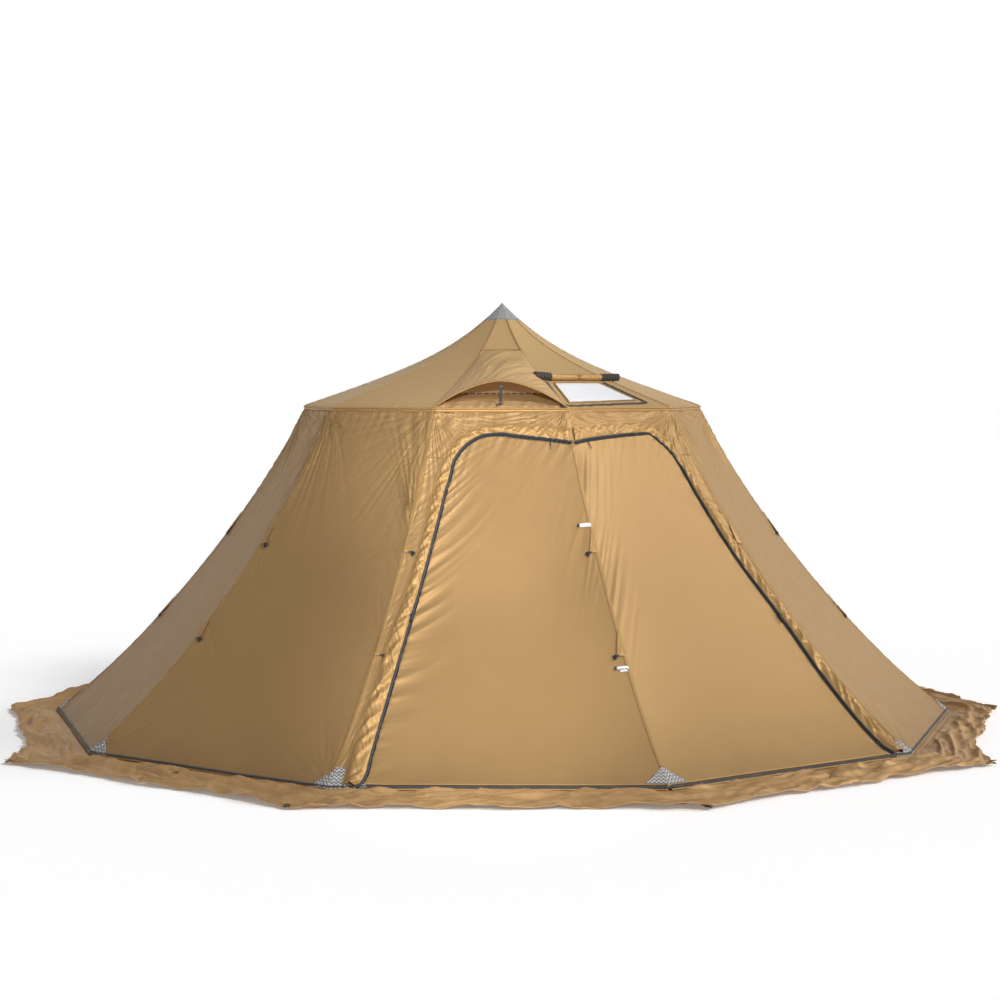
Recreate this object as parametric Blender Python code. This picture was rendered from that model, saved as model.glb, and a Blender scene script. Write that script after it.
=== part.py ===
"""Ten-sided pyramid (bell) tent with a spreader-strut eave, standing on the ground.

Frame: origin on the ground under the centre pole, +Z up, the door side faces -Y.
Corners of the ten-sided plan are numbered by the angle t measured from -Y towards +X:
t = -18 + 36 k degrees.  Side k runs from corner k to corner k + 1, so side 0 is the
front (left half of the door) and side 1 is the front right (right half of the door).
"""
import bpy
import bmesh
import math
import numpy as np
from mathutils import Matrix, Vector

for _o in list(bpy.data.objects):
    bpy.data.objects.remove(_o, do_unlink=True)

# ------------------------------------------------------------------ driving sizes (metres)
SIDES = 10
HALF = math.radians(180.0 / SIDES)      # half the angle of one side
C18, S18 = math.cos(HALF), math.sin(HALF)
R_BASE = 2.50        # corner radius of the wall at the ground
R_EAVE = 1.094       # corner radius of the eave
Z_EAVE = 1.6825      # height of the wall-to-roof seam
Z_DRIP = 1.7025      # height of the roof's lower edge, above the seam
Z_APEX = 2.2705      # tip of the roof
WALL_SAG = 0.56      # inward curve of the walls under tension
WALL_SAG_LOW = 0.40  # extra inward curve close to the ground
ROOF_SAG = 0.62
ROOF_SAG_FADE = 1.3
CLOTH = 0.0015       # thickness that stands for the coated cloth with its seams
EDGE = 0.0010        # set-back of every cloth panel from its seam line
Z_HEM = 0.0055       # underside of the wall cloth, above the ground skirt

# doorway in sides 0 and 1
DOOR_LEFT_IN = 0.130     # zip line to the left-hand ridge seam
DOOR_RIGHT_IN = 0.105    # zip line to the right-hand ridge seam
DOOR_FOOT = 0.030
DOOR_TOP = 1.5535
DOOR_CORNER = 0.17       # corner radius of the doorway
DOOR_GAP = 0.0020

# roof vent in side 0
VENT_TOP_R = 0.352       # corner radius at the vent's upper seam
VENT_LOW_R = 0.985       # corner radius at the vent's lower edge
HOOD_FRONT_Y = -1.010
HOOD_FRONT_Z = 1.835
HOOD_Q = 0.38            # half width of the hood's middle flap, as a share of the side
MESH_DROP = 0.030
PROP_LEN = 0.0935

# stove opening in side 1
JACK_TOP_R, JACK_LOW_R = 0.745, 1.035
ROLL_R = 0.0175
ROLL_LIFT = 0.010

# pole and spreader struts
POLE_OD, POLE_ID = 0.0320, 0.0290
TOP_OD, TOP_ID = 0.0282, 0.0254
POLE_JOINT_Z = 1.170
POLE_INSERT = 0.150
POLE_TOP_Z = 2.190
HUB_Z = 1.660
HUB_R = 0.048
HUB_SLOT_R = 0.030
HUB_SLOT_W = 0.0125
PIVOT_R = 0.040
STRUT_D = 0.0095
TIP_GAP = 0.012

# ground skirt
SKIRT_T = 0.0035
SKIRT_IN = 2.440
SKIRT_TIP = {18: 2.950, 54: 2.930, 90: 2.750, 126: 2.930, 162: 2.950}
SKIRT_MID = {0: 2.810, 36: 2.780, 72: 2.640, 108: 2.640, 144: 2.780, 180: 2.810}

# ------------------------------------------------------------------ profiles

def r_wall(z):
    """Corner radius of the wall at height z."""
    s = (Z_EAVE - z) / Z_EAVE
    return R_EAVE + (R_BASE - R_EAVE) * s - s * (1 - s) * (WALL_SAG + WALL_SAG_LOW * s ** 4)


def z_roof(r):
    """Height of the roof where its corner radius is r."""
    u = r / R_EAVE
    return Z_APEX - (Z_APEX - Z_DRIP) * u - ROOF_SAG * math.exp(-ROOF_SAG_FADE * u) * u * (1 - u)


def slope(f, x, h=1e-4):
    return (f(x + h) - f(x - h)) / (2 * h)


def side_axes(k):
    """Unit vectors of side k: along the side (to the right seen from outside) and outwards."""
    a = 2 * HALF * k
    return Vector((math.cos(a), math.sin(a), 0)), Vector((math.sin(a), -math.cos(a), 0))


def wall_point(k, x, z, lift=0.0):
    t, n = side_axes(k)
    p = t * x + n * (r_wall(z) * C18) + Vector((0, 0, z))
    if lift:
        p += wall_normal(k, z) * lift
    return p


def wall_normal(k, z):
    _, n = side_axes(k)
    return (n - Vector((0, 0, 1)) * (slope(r_wall, z) * C18)).normalized()


def roof_point(k, x, r, lift=0.0):
    t, n = side_axes(k)
    p = t * x + n * (r * C18) + Vector((0, 0, z_roof(r)))
    if lift:
        p += roof_normal(k, r) * lift
    return p


def roof_normal(k, r):
    _, n = side_axes(k)
    return (n * -slope(z_roof, r) + Vector((0, 0, C18))).normalized()


def hood_height(r):
    """Height of the hood's ridge above the roof surface where the corner radius is r."""
    y = -r * C18
    y0 = -VENT_TOP_R * C18
    z0 = z_roof(VENT_TOP_R) + 0.004
    z = z0 + (HOOD_FRONT_Z - z0) * (y - y0) / (HOOD_FRONT_Y - y0)
    return z - z_roof(r)


def hood_point(q, r):
    """Point of the raised hood at share q of the half side."""
    p = roof_point(0, q * r * S18, r)
    p.z += hood_height(r) * (1 - abs(q) ** 1.6)
    return p


# ------------------------------------------------------------------ materials and objects

def material(name, colour, rough, metal=0.0):
    m = bpy.data.materials.new(name)
    m.use_nodes = True
    b = m.node_tree.nodes["Principled BSDF"]
    b.inputs["Base Color"].default_value = (*colour, 1)
    b.inputs["Roughness"].default_value = rough
    b.inputs["Metallic"].default_value = metal
    m.diffuse_color = (*colour, 1)
    return m


TAN = (0.50, 0.33, 0.16)
GREY = (0.24, 0.25, 0.24)
FINISH = {
    "tent_cloth": (TAN, 0.55, 0.0),
    "grey_reinforcement": (GREY, 0.75, 0.0),
    "webbing": ((0.11, 0.13, 0.16), 0.8, 0.0),
    "mosquito_mesh": ((0.03, 0.032, 0.028), 0.9, 0.0),
    "fireproof_cloth": ((0.86, 0.86, 0.88), 0.6, 0.0),
    "black_plastic": ((0.02, 0.02, 0.022), 0.45, 0.0),
    "pole_aluminium": ((0.62, 0.63, 0.65), 0.32, 1.0),
    "glass_fibre_rod": ((0.03, 0.03, 0.032), 0.35, 0.0),
    "rubber_foot": ((0.03, 0.03, 0.03), 0.8, 0.0),
}


def new_object(name, bm, finish, loc=(0, 0, 0)):
    """Makes the object with its origin at loc; bm is in world coordinates."""
    if loc != (0, 0, 0):
        bmesh.ops.translate(bm, vec=-Vector(loc), verts=bm.verts)
    me = bpy.data.meshes.new(name)
    bm.to_mesh(me)
    bm.free()
    o = bpy.data.objects.new(name, me)
    o.location = loc
    bpy.context.scene.collection.objects.link(o)
    colour, rough, metal = FINISH[finish]
    me.materials.append(material(name + "_" + finish, colour, rough, metal))
    return o


def sheet(name, rows, finish="tent_cloth", thickness=CLOTH, loc=(0, 0, 0)):
    """A cloth panel. rows go up the panel, each row runs left to right seen from outside;
    the panel is thickened inwards."""
    bm = bmesh.new()
    grid = [[bm.verts.new(p) for p in row] for row in rows]
    for a, b in zip(grid, grid[1:]):
        for i in range(len(a) - 1):
            bm.faces.new((a[i], a[i + 1], b[i + 1], b[i]))
    bm.normal_update()
    o = new_object(name, bm, finish, loc)
    mod = o.modifiers.new("Solidify", "SOLIDIFY")
    mod.thickness = thickness
    mod.offset = -1
    mod.use_even_offset = True
    return o


def turned(name, profile, finish, steps=24, loc=(0, 0, 0), close=False):
    """Turned about +Z. profile is (radius, z), starting and ending on the axis, or a closed ring."""
    bm = bmesh.new()
    n = len(profile)
    rings = []
    for r, z in profile:
        if r < 1e-9:
            rings.append([bm.verts.new((loc[0], loc[1], loc[2] + z))] * steps)
        else:
            rings.append([bm.verts.new((loc[0] + r * math.cos(2 * math.pi * i / steps),
                                        loc[1] + r * math.sin(2 * math.pi * i / steps),
                                        loc[2] + z)) for i in range(steps)])
    for j in range(n if close else n - 1):
        a, b = rings[j], rings[(j + 1) % n]
        for i in range(steps):
            i2 = (i + 1) % steps
            quad = []
            for v in (a[i], a[i2], b[i2], b[i]):
                if v not in quad:
                    quad.append(v)
            if len(quad) > 2:
                bm.faces.new(quad)
    bmesh.ops.recalc_face_normals(bm, faces=bm.faces)
    o = new_object(name, bm, finish, loc)
    o.data.shade_smooth()
    o.data.set_sharp_from_angle(angle=math.radians(35))
    return o


def prism(name, outline, low, high, finish, loc=(0, 0, 0), hole=None):
    """Extrudes a plan outline (list of (x, y)) from low to high, with an optional hole outline
    of the same number of points."""
    bm = bmesh.new()
    lo = [bm.verts.new((x, y, low)) for x, y in outline]
    hi = [bm.verts.new((x, y, high)) for x, y in outline]
    n = len(outline)
    for i in range(n):
        j = (i + 1) % n
        bm.faces.new((lo[i], lo[j], hi[j], hi[i]))
    if hole is None:
        bm.faces.new(hi)
        bm.faces.new(lo[::-1])
    else:
        hl = [bm.verts.new((x, y, low)) for x, y in hole]
        hh = [bm.verts.new((x, y, high)) for x, y in hole]
        for i in range(n):
            j = (i + 1) % n
            bm.faces.new((hl[j], hl[i], hh[i], hh[j]))
            bm.faces.new((hi[i], hi[j], hh[j], hh[i]))
            bm.faces.new((lo[j], lo[i], hl[i], hl[j]))
    bmesh.ops.recalc_face_normals(bm, faces=bm.faces)
    return new_object(name, bm, finish, loc)


def block(name, centre, axes, size, finish, loc=(0, 0, 0), bevel=0.0):
    """A small box with unit axes and full size, its edges rounded by bevel."""
    bm = bmesh.new()
    bmesh.ops.create_cube(bm, size=1.0)
    m = Matrix((axes[0] * size[0], axes[1] * size[1], axes[2] * size[2])).transposed().to_4x4()
    m.translation = centre
    bmesh.ops.transform(bm, matrix=m, verts=bm.verts)
    if bevel:
        bmesh.ops.bevel(bm, geom=list(bm.edges), offset=bevel, segments=1, affect="EDGES", profile=0.5)
    bmesh.ops.recalc_face_normals(bm, faces=bm.faces)
    return new_object(name, bm, finish, loc)


# ------------------------------------------------------------------ walls
WALL_Z = [Z_HEM] + [DOOR_FOOT + (1.6960 - DOOR_FOOT) * i / 8 for i in range(9)]


def half_side(z):
    return r_wall(z) * S18 - EDGE


for k in range(2, SIDES):
    sheet("wall_panel_%d" % (k + 1),
          [[wall_point(k, -half_side(z), z), wall_point(k, half_side(z), z)] for z in WALL_Z])


# ------------------------------------------------------------------ door surround and door leaves

def corner_in(z):
    """How far the rounded top corner of the doorway comes in from the straight zip line."""
    rise = (z - (DOOR_TOP - DOOR_CORNER)) / DOOR_CORNER
    if rise <= 0:
        return 0.0
    knots = [(math.sin(math.pi / 2 * i / 5), 1 - math.cos(math.pi / 2 * i / 5)) for i in range(6)]
    return DOOR_CORNER * float(np.interp(rise, [k[0] for k in knots], [k[1] for k in knots]))


def zip_left(z):
    return -r_wall(z) * S18 + DOOR_LEFT_IN + corner_in(z)


def zip_right(z):
    return r_wall(z) * S18 - DOOR_RIGHT_IN - corner_in(z)


def levels(low, high):
    """Heights for a door piece: even steps up the straight part, closer in the corner."""
    start = DOOR_TOP - DOOR_CORNER
    straight = [low + (start - low) * i / 7 for i in range(8)]
    corner = [start + DOOR_CORNER * math.sin(math.pi / 2 * i / 5) for i in range(1, 6)]
    return straight + [min(z, high) for z in corner]


JAMB_Z = [Z_HEM] + levels(DOOR_FOOT, DOOR_TOP)
sheet("door_jamb_left",
      [[wall_point(0, -half_side(z), z), wall_point(0, zip_left(z) - DOOR_GAP / 2, z)] for z in JAMB_Z])
sheet("door_jamb_right",
      [[wall_point(1, zip_right(z) + DOOR_GAP / 2, z), wall_point(1, half_side(z), z)] for z in JAMB_Z])
HEAD_Z = [DOOR_TOP + 0.0012, 1.625, 1.6960]
for name, k in (("door_header_left", 0), ("door_header_right", 1)):
    sheet(name, [[wall_point(k, -half_side(z), z), wall_point(k, half_side(z), z)] for z in HEAD_Z])

LEAF_TOP = DOOR_TOP - 0.0012
LEAF_Z = levels(DOOR_FOOT, LEAF_TOP)
LEAF_Z[-1] = LEAF_TOP


def leaf_left_rows():
    return [[wall_point(0, x0 + (half_side(z) - x0) * f, z) for f in (0.0, 0.34, 0.67, 1.0)]
            for z, x0 in ((z, zip_left(z) + DOOR_GAP / 2) for z in LEAF_Z)]


def leaf_right_rows():
    return [[wall_point(1, -half_side(z) + (x1 + half_side(z)) * f, z) for f in (0.0, 0.33, 0.66, 1.0)]
            for z, x1 in ((z, zip_right(z) - DOOR_GAP / 2) for z in LEAF_Z)]


# each leaf turns about the straight line through the two ends of its zip
HINGE_LOW_Z, HINGE_HIGH_Z = DOOR_FOOT, DOOR_TOP
LEFT_HINGE = tuple(wall_point(0, -r_wall(z) * S18 + DOOR_LEFT_IN, z) for z in (HINGE_LOW_Z, HINGE_HIGH_Z))
RIGHT_HINGE = tuple(wall_point(1, r_wall(z) * S18 - DOOR_RIGHT_IN, z) for z in (HINGE_LOW_Z, HINGE_HIGH_Z))
sheet("door_leaf_left", leaf_left_rows(), loc=tuple(LEFT_HINGE[0]))
sheet("door_leaf_right", leaf_right_rows(), loc=tuple(RIGHT_HINGE[0]))

# zip sliders, parked near the middle of the header
SLIDER_Z = 1.5685
for name, k, x in (("door_zip_slider_left", 0, 0.250), ("door_zip_slider_right", 1, -0.270)):
    t, n = side_axes(k)
    nn = wall_normal(k, SLIDER_Z)
    c = wall_point(k, x, SLIDER_Z, lift=0.0045)
    block(name, c, (t, nn.cross(t), nn), (0.012, 0.022, 0.005), "black_plastic", loc=tuple(c), bevel=0.0012)

# ------------------------------------------------------------------ webbing rings

def ring_band(name, low, high, off_low, off_high, wide, finish):
    """A closed ten-sided band. off is the step out from the wall's corner radius at each height."""
    profile = [(r_wall(low) + off_low, low), (r_wall(low) + off_low + wide, low),
               (r_wall(high) + off_high + wide, high), (r_wall(high) + off_high, high)]
    bm = bmesh.new()
    rings = []
    for r, z in profile:
        rings.append([bm.verts.new((r * math.sin(-HALF + 2 * HALF * i), -r * math.cos(-HALF + 2 * HALF * i), z))
                      for i in range(SIDES)])
    for j in range(4):
        a, b = rings[j], rings[(j + 1) % 4]
        for i in range(SIDES):
            i2 = (i + 1) % SIDES
            bm.faces.new((a[i], a[i2], b[i2], b[i]))
    bmesh.ops.recalc_face_normals(bm, faces=bm.faces)
    return new_object(name, bm, finish)


ring_band("base_webbing", 0.0060, 0.0245, 0.0022, 0.0022, 0.0030, "webbing")
ring_band("eave_webbing", 1.6450, 1.6750, -0.0068, -0.0068, 0.0030, "webbing")

# ------------------------------------------------------------------ roof
ROOF_TOP_R = 0.030
CAP_LOW_R, CAP_MID_R = 0.094, 0.062
ROOF_R = [R_EAVE * 1.004 - (R_EAVE * 1.004 - CAP_LOW_R) * (i / 7) ** 0.9 for i in range(8)] + [CAP_MID_R, ROOF_TOP_R]


def roof_rows(k, radii, inset=EDGE):
    return [[roof_point(k, -(r * S18 - inset), r), roof_point(k, r * S18 - inset, r)] for r in radii]


def radii(a, b, n):
    return [a + (b - a) * i / n for i in range(n + 1)]


sheet("roof_panel_front", roof_rows(0, radii(VENT_TOP_R, CAP_LOW_R, 2) + [CAP_MID_R, ROOF_TOP_R]))
sheet("roof_vent_band", roof_rows(0, radii(R_EAVE * 1.004, VENT_LOW_R, 1)))
sheet("roof_panel_stove", roof_rows(1, ROOF_R))
for k in range(2, SIDES):
    sheet("roof_panel_%d" % (k + 1), roof_rows(k, ROOF_R))

# vent: mesh, raised hood in three pieces, and its prop
MESH_R = radii(0.960, 0.375, 3)
sheet("vent_mesh", [[roof_point(0, -(r * S18 * 0.90), r) - Vector((0, 0, MESH_DROP)),
                     roof_point(0, r * S18 * 0.90, r) - Vector((0, 0, MESH_DROP))] for r in MESH_R],
      finish="mosquito_mesh", thickness=0.0010)
HOOD_FRONT_R = -HOOD_FRONT_Y / C18
HOOD_TOP_R = VENT_TOP_R + 0.004
HOOD_ROWS = radii(HOOD_FRONT_R, HOOD_TOP_R, 5)
HOOD_PIVOT = hood_point(0, VENT_TOP_R + 0.002)
sheet("vent_hood_flap", [[hood_point(q, r) for q in (-HOOD_Q, -HOOD_Q / 2, 0, HOOD_Q / 2, HOOD_Q)] for r in HOOD_ROWS],
      loc=(0, HOOD_PIVOT.y, HOOD_PIVOT.z))
CHEEK = (0.96, 0.77, 0.58)


def cheek_rows(sign):
    rows = []
    for r in HOOD_ROWS:
        qs = [sign * q for q in CHEEK] + [sign * (HOOD_Q + 0.0030 / (r * S18))]
        rows.append([hood_point(q, r) + Vector((0, 0, 0.0012)) for q in (qs if sign < 0 else qs[::-1])])
    return rows


sheet("vent_cheek_left", cheek_rows(-1))
sheet("vent_cheek_right", cheek_rows(1))

PROP_R = 1.065
PROP_BASE = roof_point(0, 0, PROP_R) + Vector((0, 0, 0.0085))
prop_c = PROP_BASE + Vector((0, 0, PROP_LEN / 2))
block("vent_prop", prop_c, (Vector((1, 0, 0)), Vector((0, 1, 0)), Vector((0, 0, 1))), (0.014, 0.006, PROP_LEN),
      "webbing", loc=tuple(PROP_BASE), bevel=0.0010)

# stove opening: fireproof panel and its rolled-up cover
JACK_LEFT = (-0.190, -0.290)
JACK_RIGHT = (0.130, 0.200)
rows = []
for i in range(4):
    f = i / 3
    r = JACK_LOW_R + (JACK_TOP_R - JACK_LOW_R) * f
    rows.append([roof_point(1, JACK_LEFT[1] + (JACK_LEFT[0] - JACK_LEFT[1]) * f, r, lift=0.0019),
                 roof_point(1, JACK_RIGHT[1] + (JACK_RIGHT[0] - JACK_RIGHT[1]) * f, r, lift=0.0019)])
sheet("stove_jack_panel", rows, finish="fireproof_cloth", thickness=0.0012)

ROLL_AT_R = 0.712
ROLL_LEFT, ROLL_RIGHT = -0.240, 0.273


def roll_mesh():
    t, _ = side_axes(1)
    nn = roof_normal(1, ROLL_AT_R)
    c = roof_point(1, 0, ROLL_AT_R, lift=ROLL_R + ROLL_LIFT)
    up = nn.cross(t)
    bm = bmesh.new()
    rings = []
    for x, rad in ((ROLL_LEFT, 0.80), (ROLL_LEFT + 0.006, 1.0), (ROLL_RIGHT - 0.006, 1.0), (ROLL_RIGHT, 0.80)):
        rings.append([bm.verts.new(c + t * x + (nn * math.cos(2 * math.pi * i / 12) + up * math.sin(2 * math.pi * i / 12)) * ROLL_R * rad)
                      for i in range(12)])
    for a, b in zip(rings, rings[1:]):
        for i in range(12):
            j = (i + 1) % 12
            bm.faces.new((a[i], a[j], b[j], b[i]))
    bm.faces.new(rings[0][::-1])
    bm.faces.new(rings[-1])
    bmesh.ops.recalc_face_normals(bm, faces=bm.faces)
    return bm, c


bm, c = roll_mesh()
new_object("stove_jack_cover", bm, "tent_cloth", loc=tuple(c))

# apex cap, a ten-sided cone of grey cloth over the tops of the roof panels
bm = bmesh.new()
outer = []
for r in (CAP_LOW_R, CAP_MID_R, ROOF_TOP_R):
    outer.append([bm.verts.new((r * math.sin(-HALF + 2 * HALF * i), -r * math.cos(-HALF + 2 * HALF * i), z_roof(r) + 0.0035))
                  for i in range(SIDES)])
tip = bm.verts.new((0, 0, Z_APEX))
for a, b in zip(outer, outer[1:]):
    for i in range(SIDES):
        j = (i + 1) % SIDES
        bm.faces.new((a[i], a[j], b[j], b[i]))
for i in range(SIDES):
    bm.faces.new((outer[-1][i], outer[-1][(i + 1) % SIDES], tip))
inner = [[bm.verts.new((v.co.x, v.co.y, v.co.z - 0.0022)) for v in ring] for ring in outer]
itip = bm.verts.new((0, 0, Z_APEX - 0.012))
for a, b in zip(inner, inner[1:]):
    for i in range(SIDES):
        j = (i + 1) % SIDES
        bm.faces.new((a[j], a[i], b[i], b[j]))
for i in range(SIDES):
    bm.faces.new((inner[-1][(i + 1) % SIDES], inner[-1][i], itip))
    j = (i + 1) % SIDES
    bm.faces.new((outer[0][j], outer[0][i], inner[0][i], inner[0][j]))
bmesh.ops.recalc_face_normals(bm, faces=bm.faces)
new_object("apex_cap", bm, "grey_reinforcement")

# ------------------------------------------------------------------ centre pole
turned("pole_foot", [(0, 0), (0.034, 0), (0.036, 0.004), (0.030, 0.020), (0, 0.020)], "rubber_foot")


def tube(name, od, idd, low, high, finish="pole_aluminium"):
    return turned(name, [(idd / 2, low), (od / 2, low), (od / 2, high), (idd / 2, high)], finish, steps=20, close=True)


tube("pole_lower", POLE_OD, POLE_ID, 0.0203, POLE_JOINT_Z)
tube("pole_upper", TOP_OD, TOP_ID, POLE_JOINT_Z - POLE_INSERT, POLE_TOP_Z)
turned("pole_collar", [(0.0146, 0.0003), (0.0210, 0.0003), (0.0210, 0.0300), (0.0180, 0.0360), (0.0146, 0.0360)],
       "black_plastic", steps=20, loc=(0, 0, POLE_JOINT_Z), close=True)
turned("pole_top_cap", [(0, 0.0003), (0.0185, 0.0003), (0.0185, 0.010), (0.012, 0.021), (0, 0.026)], "black_plastic",
       steps=20, loc=(0, 0, POLE_TOP_Z))

# hub with ten slots
hub_out, hub_in = [], []
for k in range(SIDES):
    a = -HALF + 2 * HALF * k
    u = Vector((math.sin(a), -math.cos(a)))
    w = Vector((math.cos(a), math.sin(a)))
    half = HUB_SLOT_W / 2
    reach = math.sqrt(HUB_R ** 2 - half ** 2)
    for side, r in ((-1, reach), (-1, HUB_SLOT_R), (1, HUB_SLOT_R), (1, reach)):
        p = u * r + w * (side * half)
        hub_out.append((p.x, p.y))
        d = p.normalized() * 0.0146
        hub_in.append((d.x, d.y))
prism("strut_hub", hub_out, HUB_Z - 0.014, HUB_Z + 0.014, "black_plastic", hole=hub_in)

# ------------------------------------------------------------------ spreader struts
TIP_R = r_wall(HUB_Z) - TIP_GAP


def strut(name, k):
    a = -HALF + 2 * HALF * k
    u = Vector((math.sin(a), -math.cos(a), 0))
    w = Vector((math.cos(a), math.sin(a), 0))
    zed = Vector((0, 0, 1))
    bm = bmesh.new()
    rad = STRUT_D / 2
    stations = ((PIVOT_R - 0.006, rad), (1.010, rad), (1.012, rad * 1.45), (TIP_R - 0.004, rad * 1.45), (TIP_R, rad * 0.8))
    rings = []
    for r, q in stations:
        rings.append([bm.verts.new(u * r + Vector((0, 0, HUB_Z)) + (w * math.cos(2 * math.pi * i / 8) + zed * math.sin(2 * math.pi * i / 8)) * q)
                      for i in range(8)])
    for p, q in zip(rings, rings[1:]):
        for i in range(8):
            j = (i + 1) % 8
            bm.faces.new((p[i], p[j], q[j], q[i]))
    bm.faces.new(rings[0][::-1])
    bm.faces.new(rings[-1])
    bmesh.ops.recalc_face_normals(bm, faces=bm.faces)
    pivot = u * PIVOT_R + Vector((0, 0, HUB_Z))
    return new_object(name, bm, "glass_fibre_rod", loc=tuple(pivot))


for k in range(SIDES):
    strut("strut_%02d" % (k + 1), k)

# ------------------------------------------------------------------ ground skirt

def skirt_radius(deg):
    """Outer radius of the ground skirt at an angle from -Y: pulled out to a point at each corner."""
    d = abs((deg + 180) % 360 - 180)
    corner = min(SKIRT_TIP, key=lambda c: abs(c - d))
    mids = sorted(SKIRT_MID, key=lambda c: abs(c - d))
    mid = SKIRT_MID[mids[0]]
    if abs(d - corner) >= 18:
        return mid
    side = [m for m in SKIRT_MID if abs(m - corner) == 18 and (m - corner) * (d - corner) >= 0]
    mid = SKIRT_MID[side[0]] if side else mid
    f = abs(d - corner) / 18.0
    return mid + (SKIRT_TIP[corner] - mid) * (1 - f) ** 1.7


def skirt_in(deg):
    """Inner edge of the skirt, straight between corners."""
    d = (deg + 18) % 36 - 18
    return SKIRT_IN * C18 / math.cos(math.radians(d))


for name, start in (("mud_skirt_front", -36), ("mud_skirt_right_front", 36), ("mud_skirt_right_rear", 108),
                    ("mud_skirt_left_rear", 180), ("mud_skirt_left_front", 252)):
    steps = [start + d for d in (0.05, 9, 13, 16, 18, 20, 23, 27, 36, 45, 49, 52, 54, 56, 59, 63, 71.95)]
    bm = bmesh.new()
    rings = []
    for deg in steps:
        a = math.radians(deg)
        u = Vector((math.sin(a), -math.cos(a), 0))
        ro, ri = skirt_radius(deg), skirt_in(deg)
        rings.append([bm.verts.new(u * ri), bm.verts.new(u * ro),
                      bm.verts.new(u * ro + Vector((0, 0, SKIRT_T))), bm.verts.new(u * ri + Vector((0, 0, SKIRT_T)))])
    for p, q in zip(rings, rings[1:]):
        for i in range(4):
            j = (i + 1) % 4
            bm.faces.new((p[i], p[j], q[j], q[i]))
    bm.faces.new(rings[0][::-1])
    bm.faces.new(rings[-1])
    bmesh.ops.recalc_face_normals(bm, faces=bm.faces)
    new_object(name, bm, "tent_cloth")
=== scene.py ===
import bpy
import bmesh
import math
import numpy as np
from mathutils import Matrix, Vector


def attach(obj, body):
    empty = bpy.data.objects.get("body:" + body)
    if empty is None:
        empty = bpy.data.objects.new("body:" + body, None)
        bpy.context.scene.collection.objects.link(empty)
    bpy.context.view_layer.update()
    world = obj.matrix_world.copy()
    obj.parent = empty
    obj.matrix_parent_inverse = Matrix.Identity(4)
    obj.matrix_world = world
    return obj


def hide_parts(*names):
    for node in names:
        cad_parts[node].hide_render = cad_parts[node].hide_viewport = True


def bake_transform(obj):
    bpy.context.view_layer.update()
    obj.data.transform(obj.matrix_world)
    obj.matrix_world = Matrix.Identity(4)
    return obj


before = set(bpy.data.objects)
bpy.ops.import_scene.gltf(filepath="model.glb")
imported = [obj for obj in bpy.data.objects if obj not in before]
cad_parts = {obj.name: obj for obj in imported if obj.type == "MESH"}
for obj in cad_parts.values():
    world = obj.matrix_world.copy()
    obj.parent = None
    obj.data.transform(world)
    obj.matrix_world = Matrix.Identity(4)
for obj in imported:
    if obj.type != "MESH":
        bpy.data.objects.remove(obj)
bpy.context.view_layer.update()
RES = 1.0

# ------------------------------------------------------------------ the tent's surfaces, as in the CAD
HALF = math.radians(18)
C18, S18 = math.cos(HALF), math.sin(HALF)
R_BASE, R_EAVE, Z_EAVE, Z_DRIP, Z_APEX = 2.50, 1.094, 1.6825, 1.7025, 2.2705
VENT_TOP_R, VENT_LOW_R = 0.352, 0.985
HOOD_FRONT_Y, HOOD_FRONT_Z = -1.010, 1.835
UP = np.array([0.0, 0.0, 1.0])


def r_wall(z):
    s = (Z_EAVE - z) / Z_EAVE
    return R_EAVE + (R_BASE - R_EAVE) * s - s * (1 - s) * (0.56 + 0.40 * s ** 4)


def z_roof(r):
    u = r / R_EAVE
    return Z_APEX - (Z_APEX - Z_DRIP) * u - 0.62 * np.exp(-1.3 * u) * u * (1 - u)


def slope(f, x, h=1e-4):
    return (f(x + h) - f(x - h)) / (2 * h)


def side(k):
    a = 2 * HALF * k
    return np.array([math.cos(a), math.sin(a), 0.0]), np.array([math.sin(a), -math.cos(a), 0.0])


def wall_normal(k, z):
    n = side(k)[1]
    v = n - UP * (slope(r_wall, z) * C18)[..., None]
    return v / np.linalg.norm(v, axis=-1, keepdims=True)


def wall_xyz(k, x, z, d=0.0):
    x, z = np.broadcast_arrays(np.asarray(x, float), np.asarray(z, float))
    t, n = side(k)
    p = x[..., None] * t + (r_wall(z) * C18)[..., None] * n + z[..., None] * UP
    return p + wall_normal(k, z) * np.broadcast_to(np.asarray(d, float), z.shape)[..., None]


def roof_normal(k, r):
    n = side(k)[1]
    v = n * -slope(z_roof, r)[..., None] + UP * C18
    return v / np.linalg.norm(v, axis=-1, keepdims=True)


def roof_xyz(k, x, r, d=0.0):
    x, r = np.broadcast_arrays(np.asarray(x, float), np.asarray(r, float))
    t, n = side(k)
    p = x[..., None] * t + (r * C18)[..., None] * n + z_roof(r)[..., None] * UP
    return p + roof_normal(k, r) * np.broadcast_to(np.asarray(d, float), r.shape)[..., None]


# ------------------------------------------------------------------ noise
def _hash(ix, iy, seed):
    h = (ix * 374761393 + iy * 668265263 + seed * 144269504) & 0xFFFFFFFF
    h = ((h ^ (h >> 13)) * 1274126177) & 0xFFFFFFFF
    return ((h ^ (h >> 16)) & 0xFFFF) / 65535.0


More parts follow.
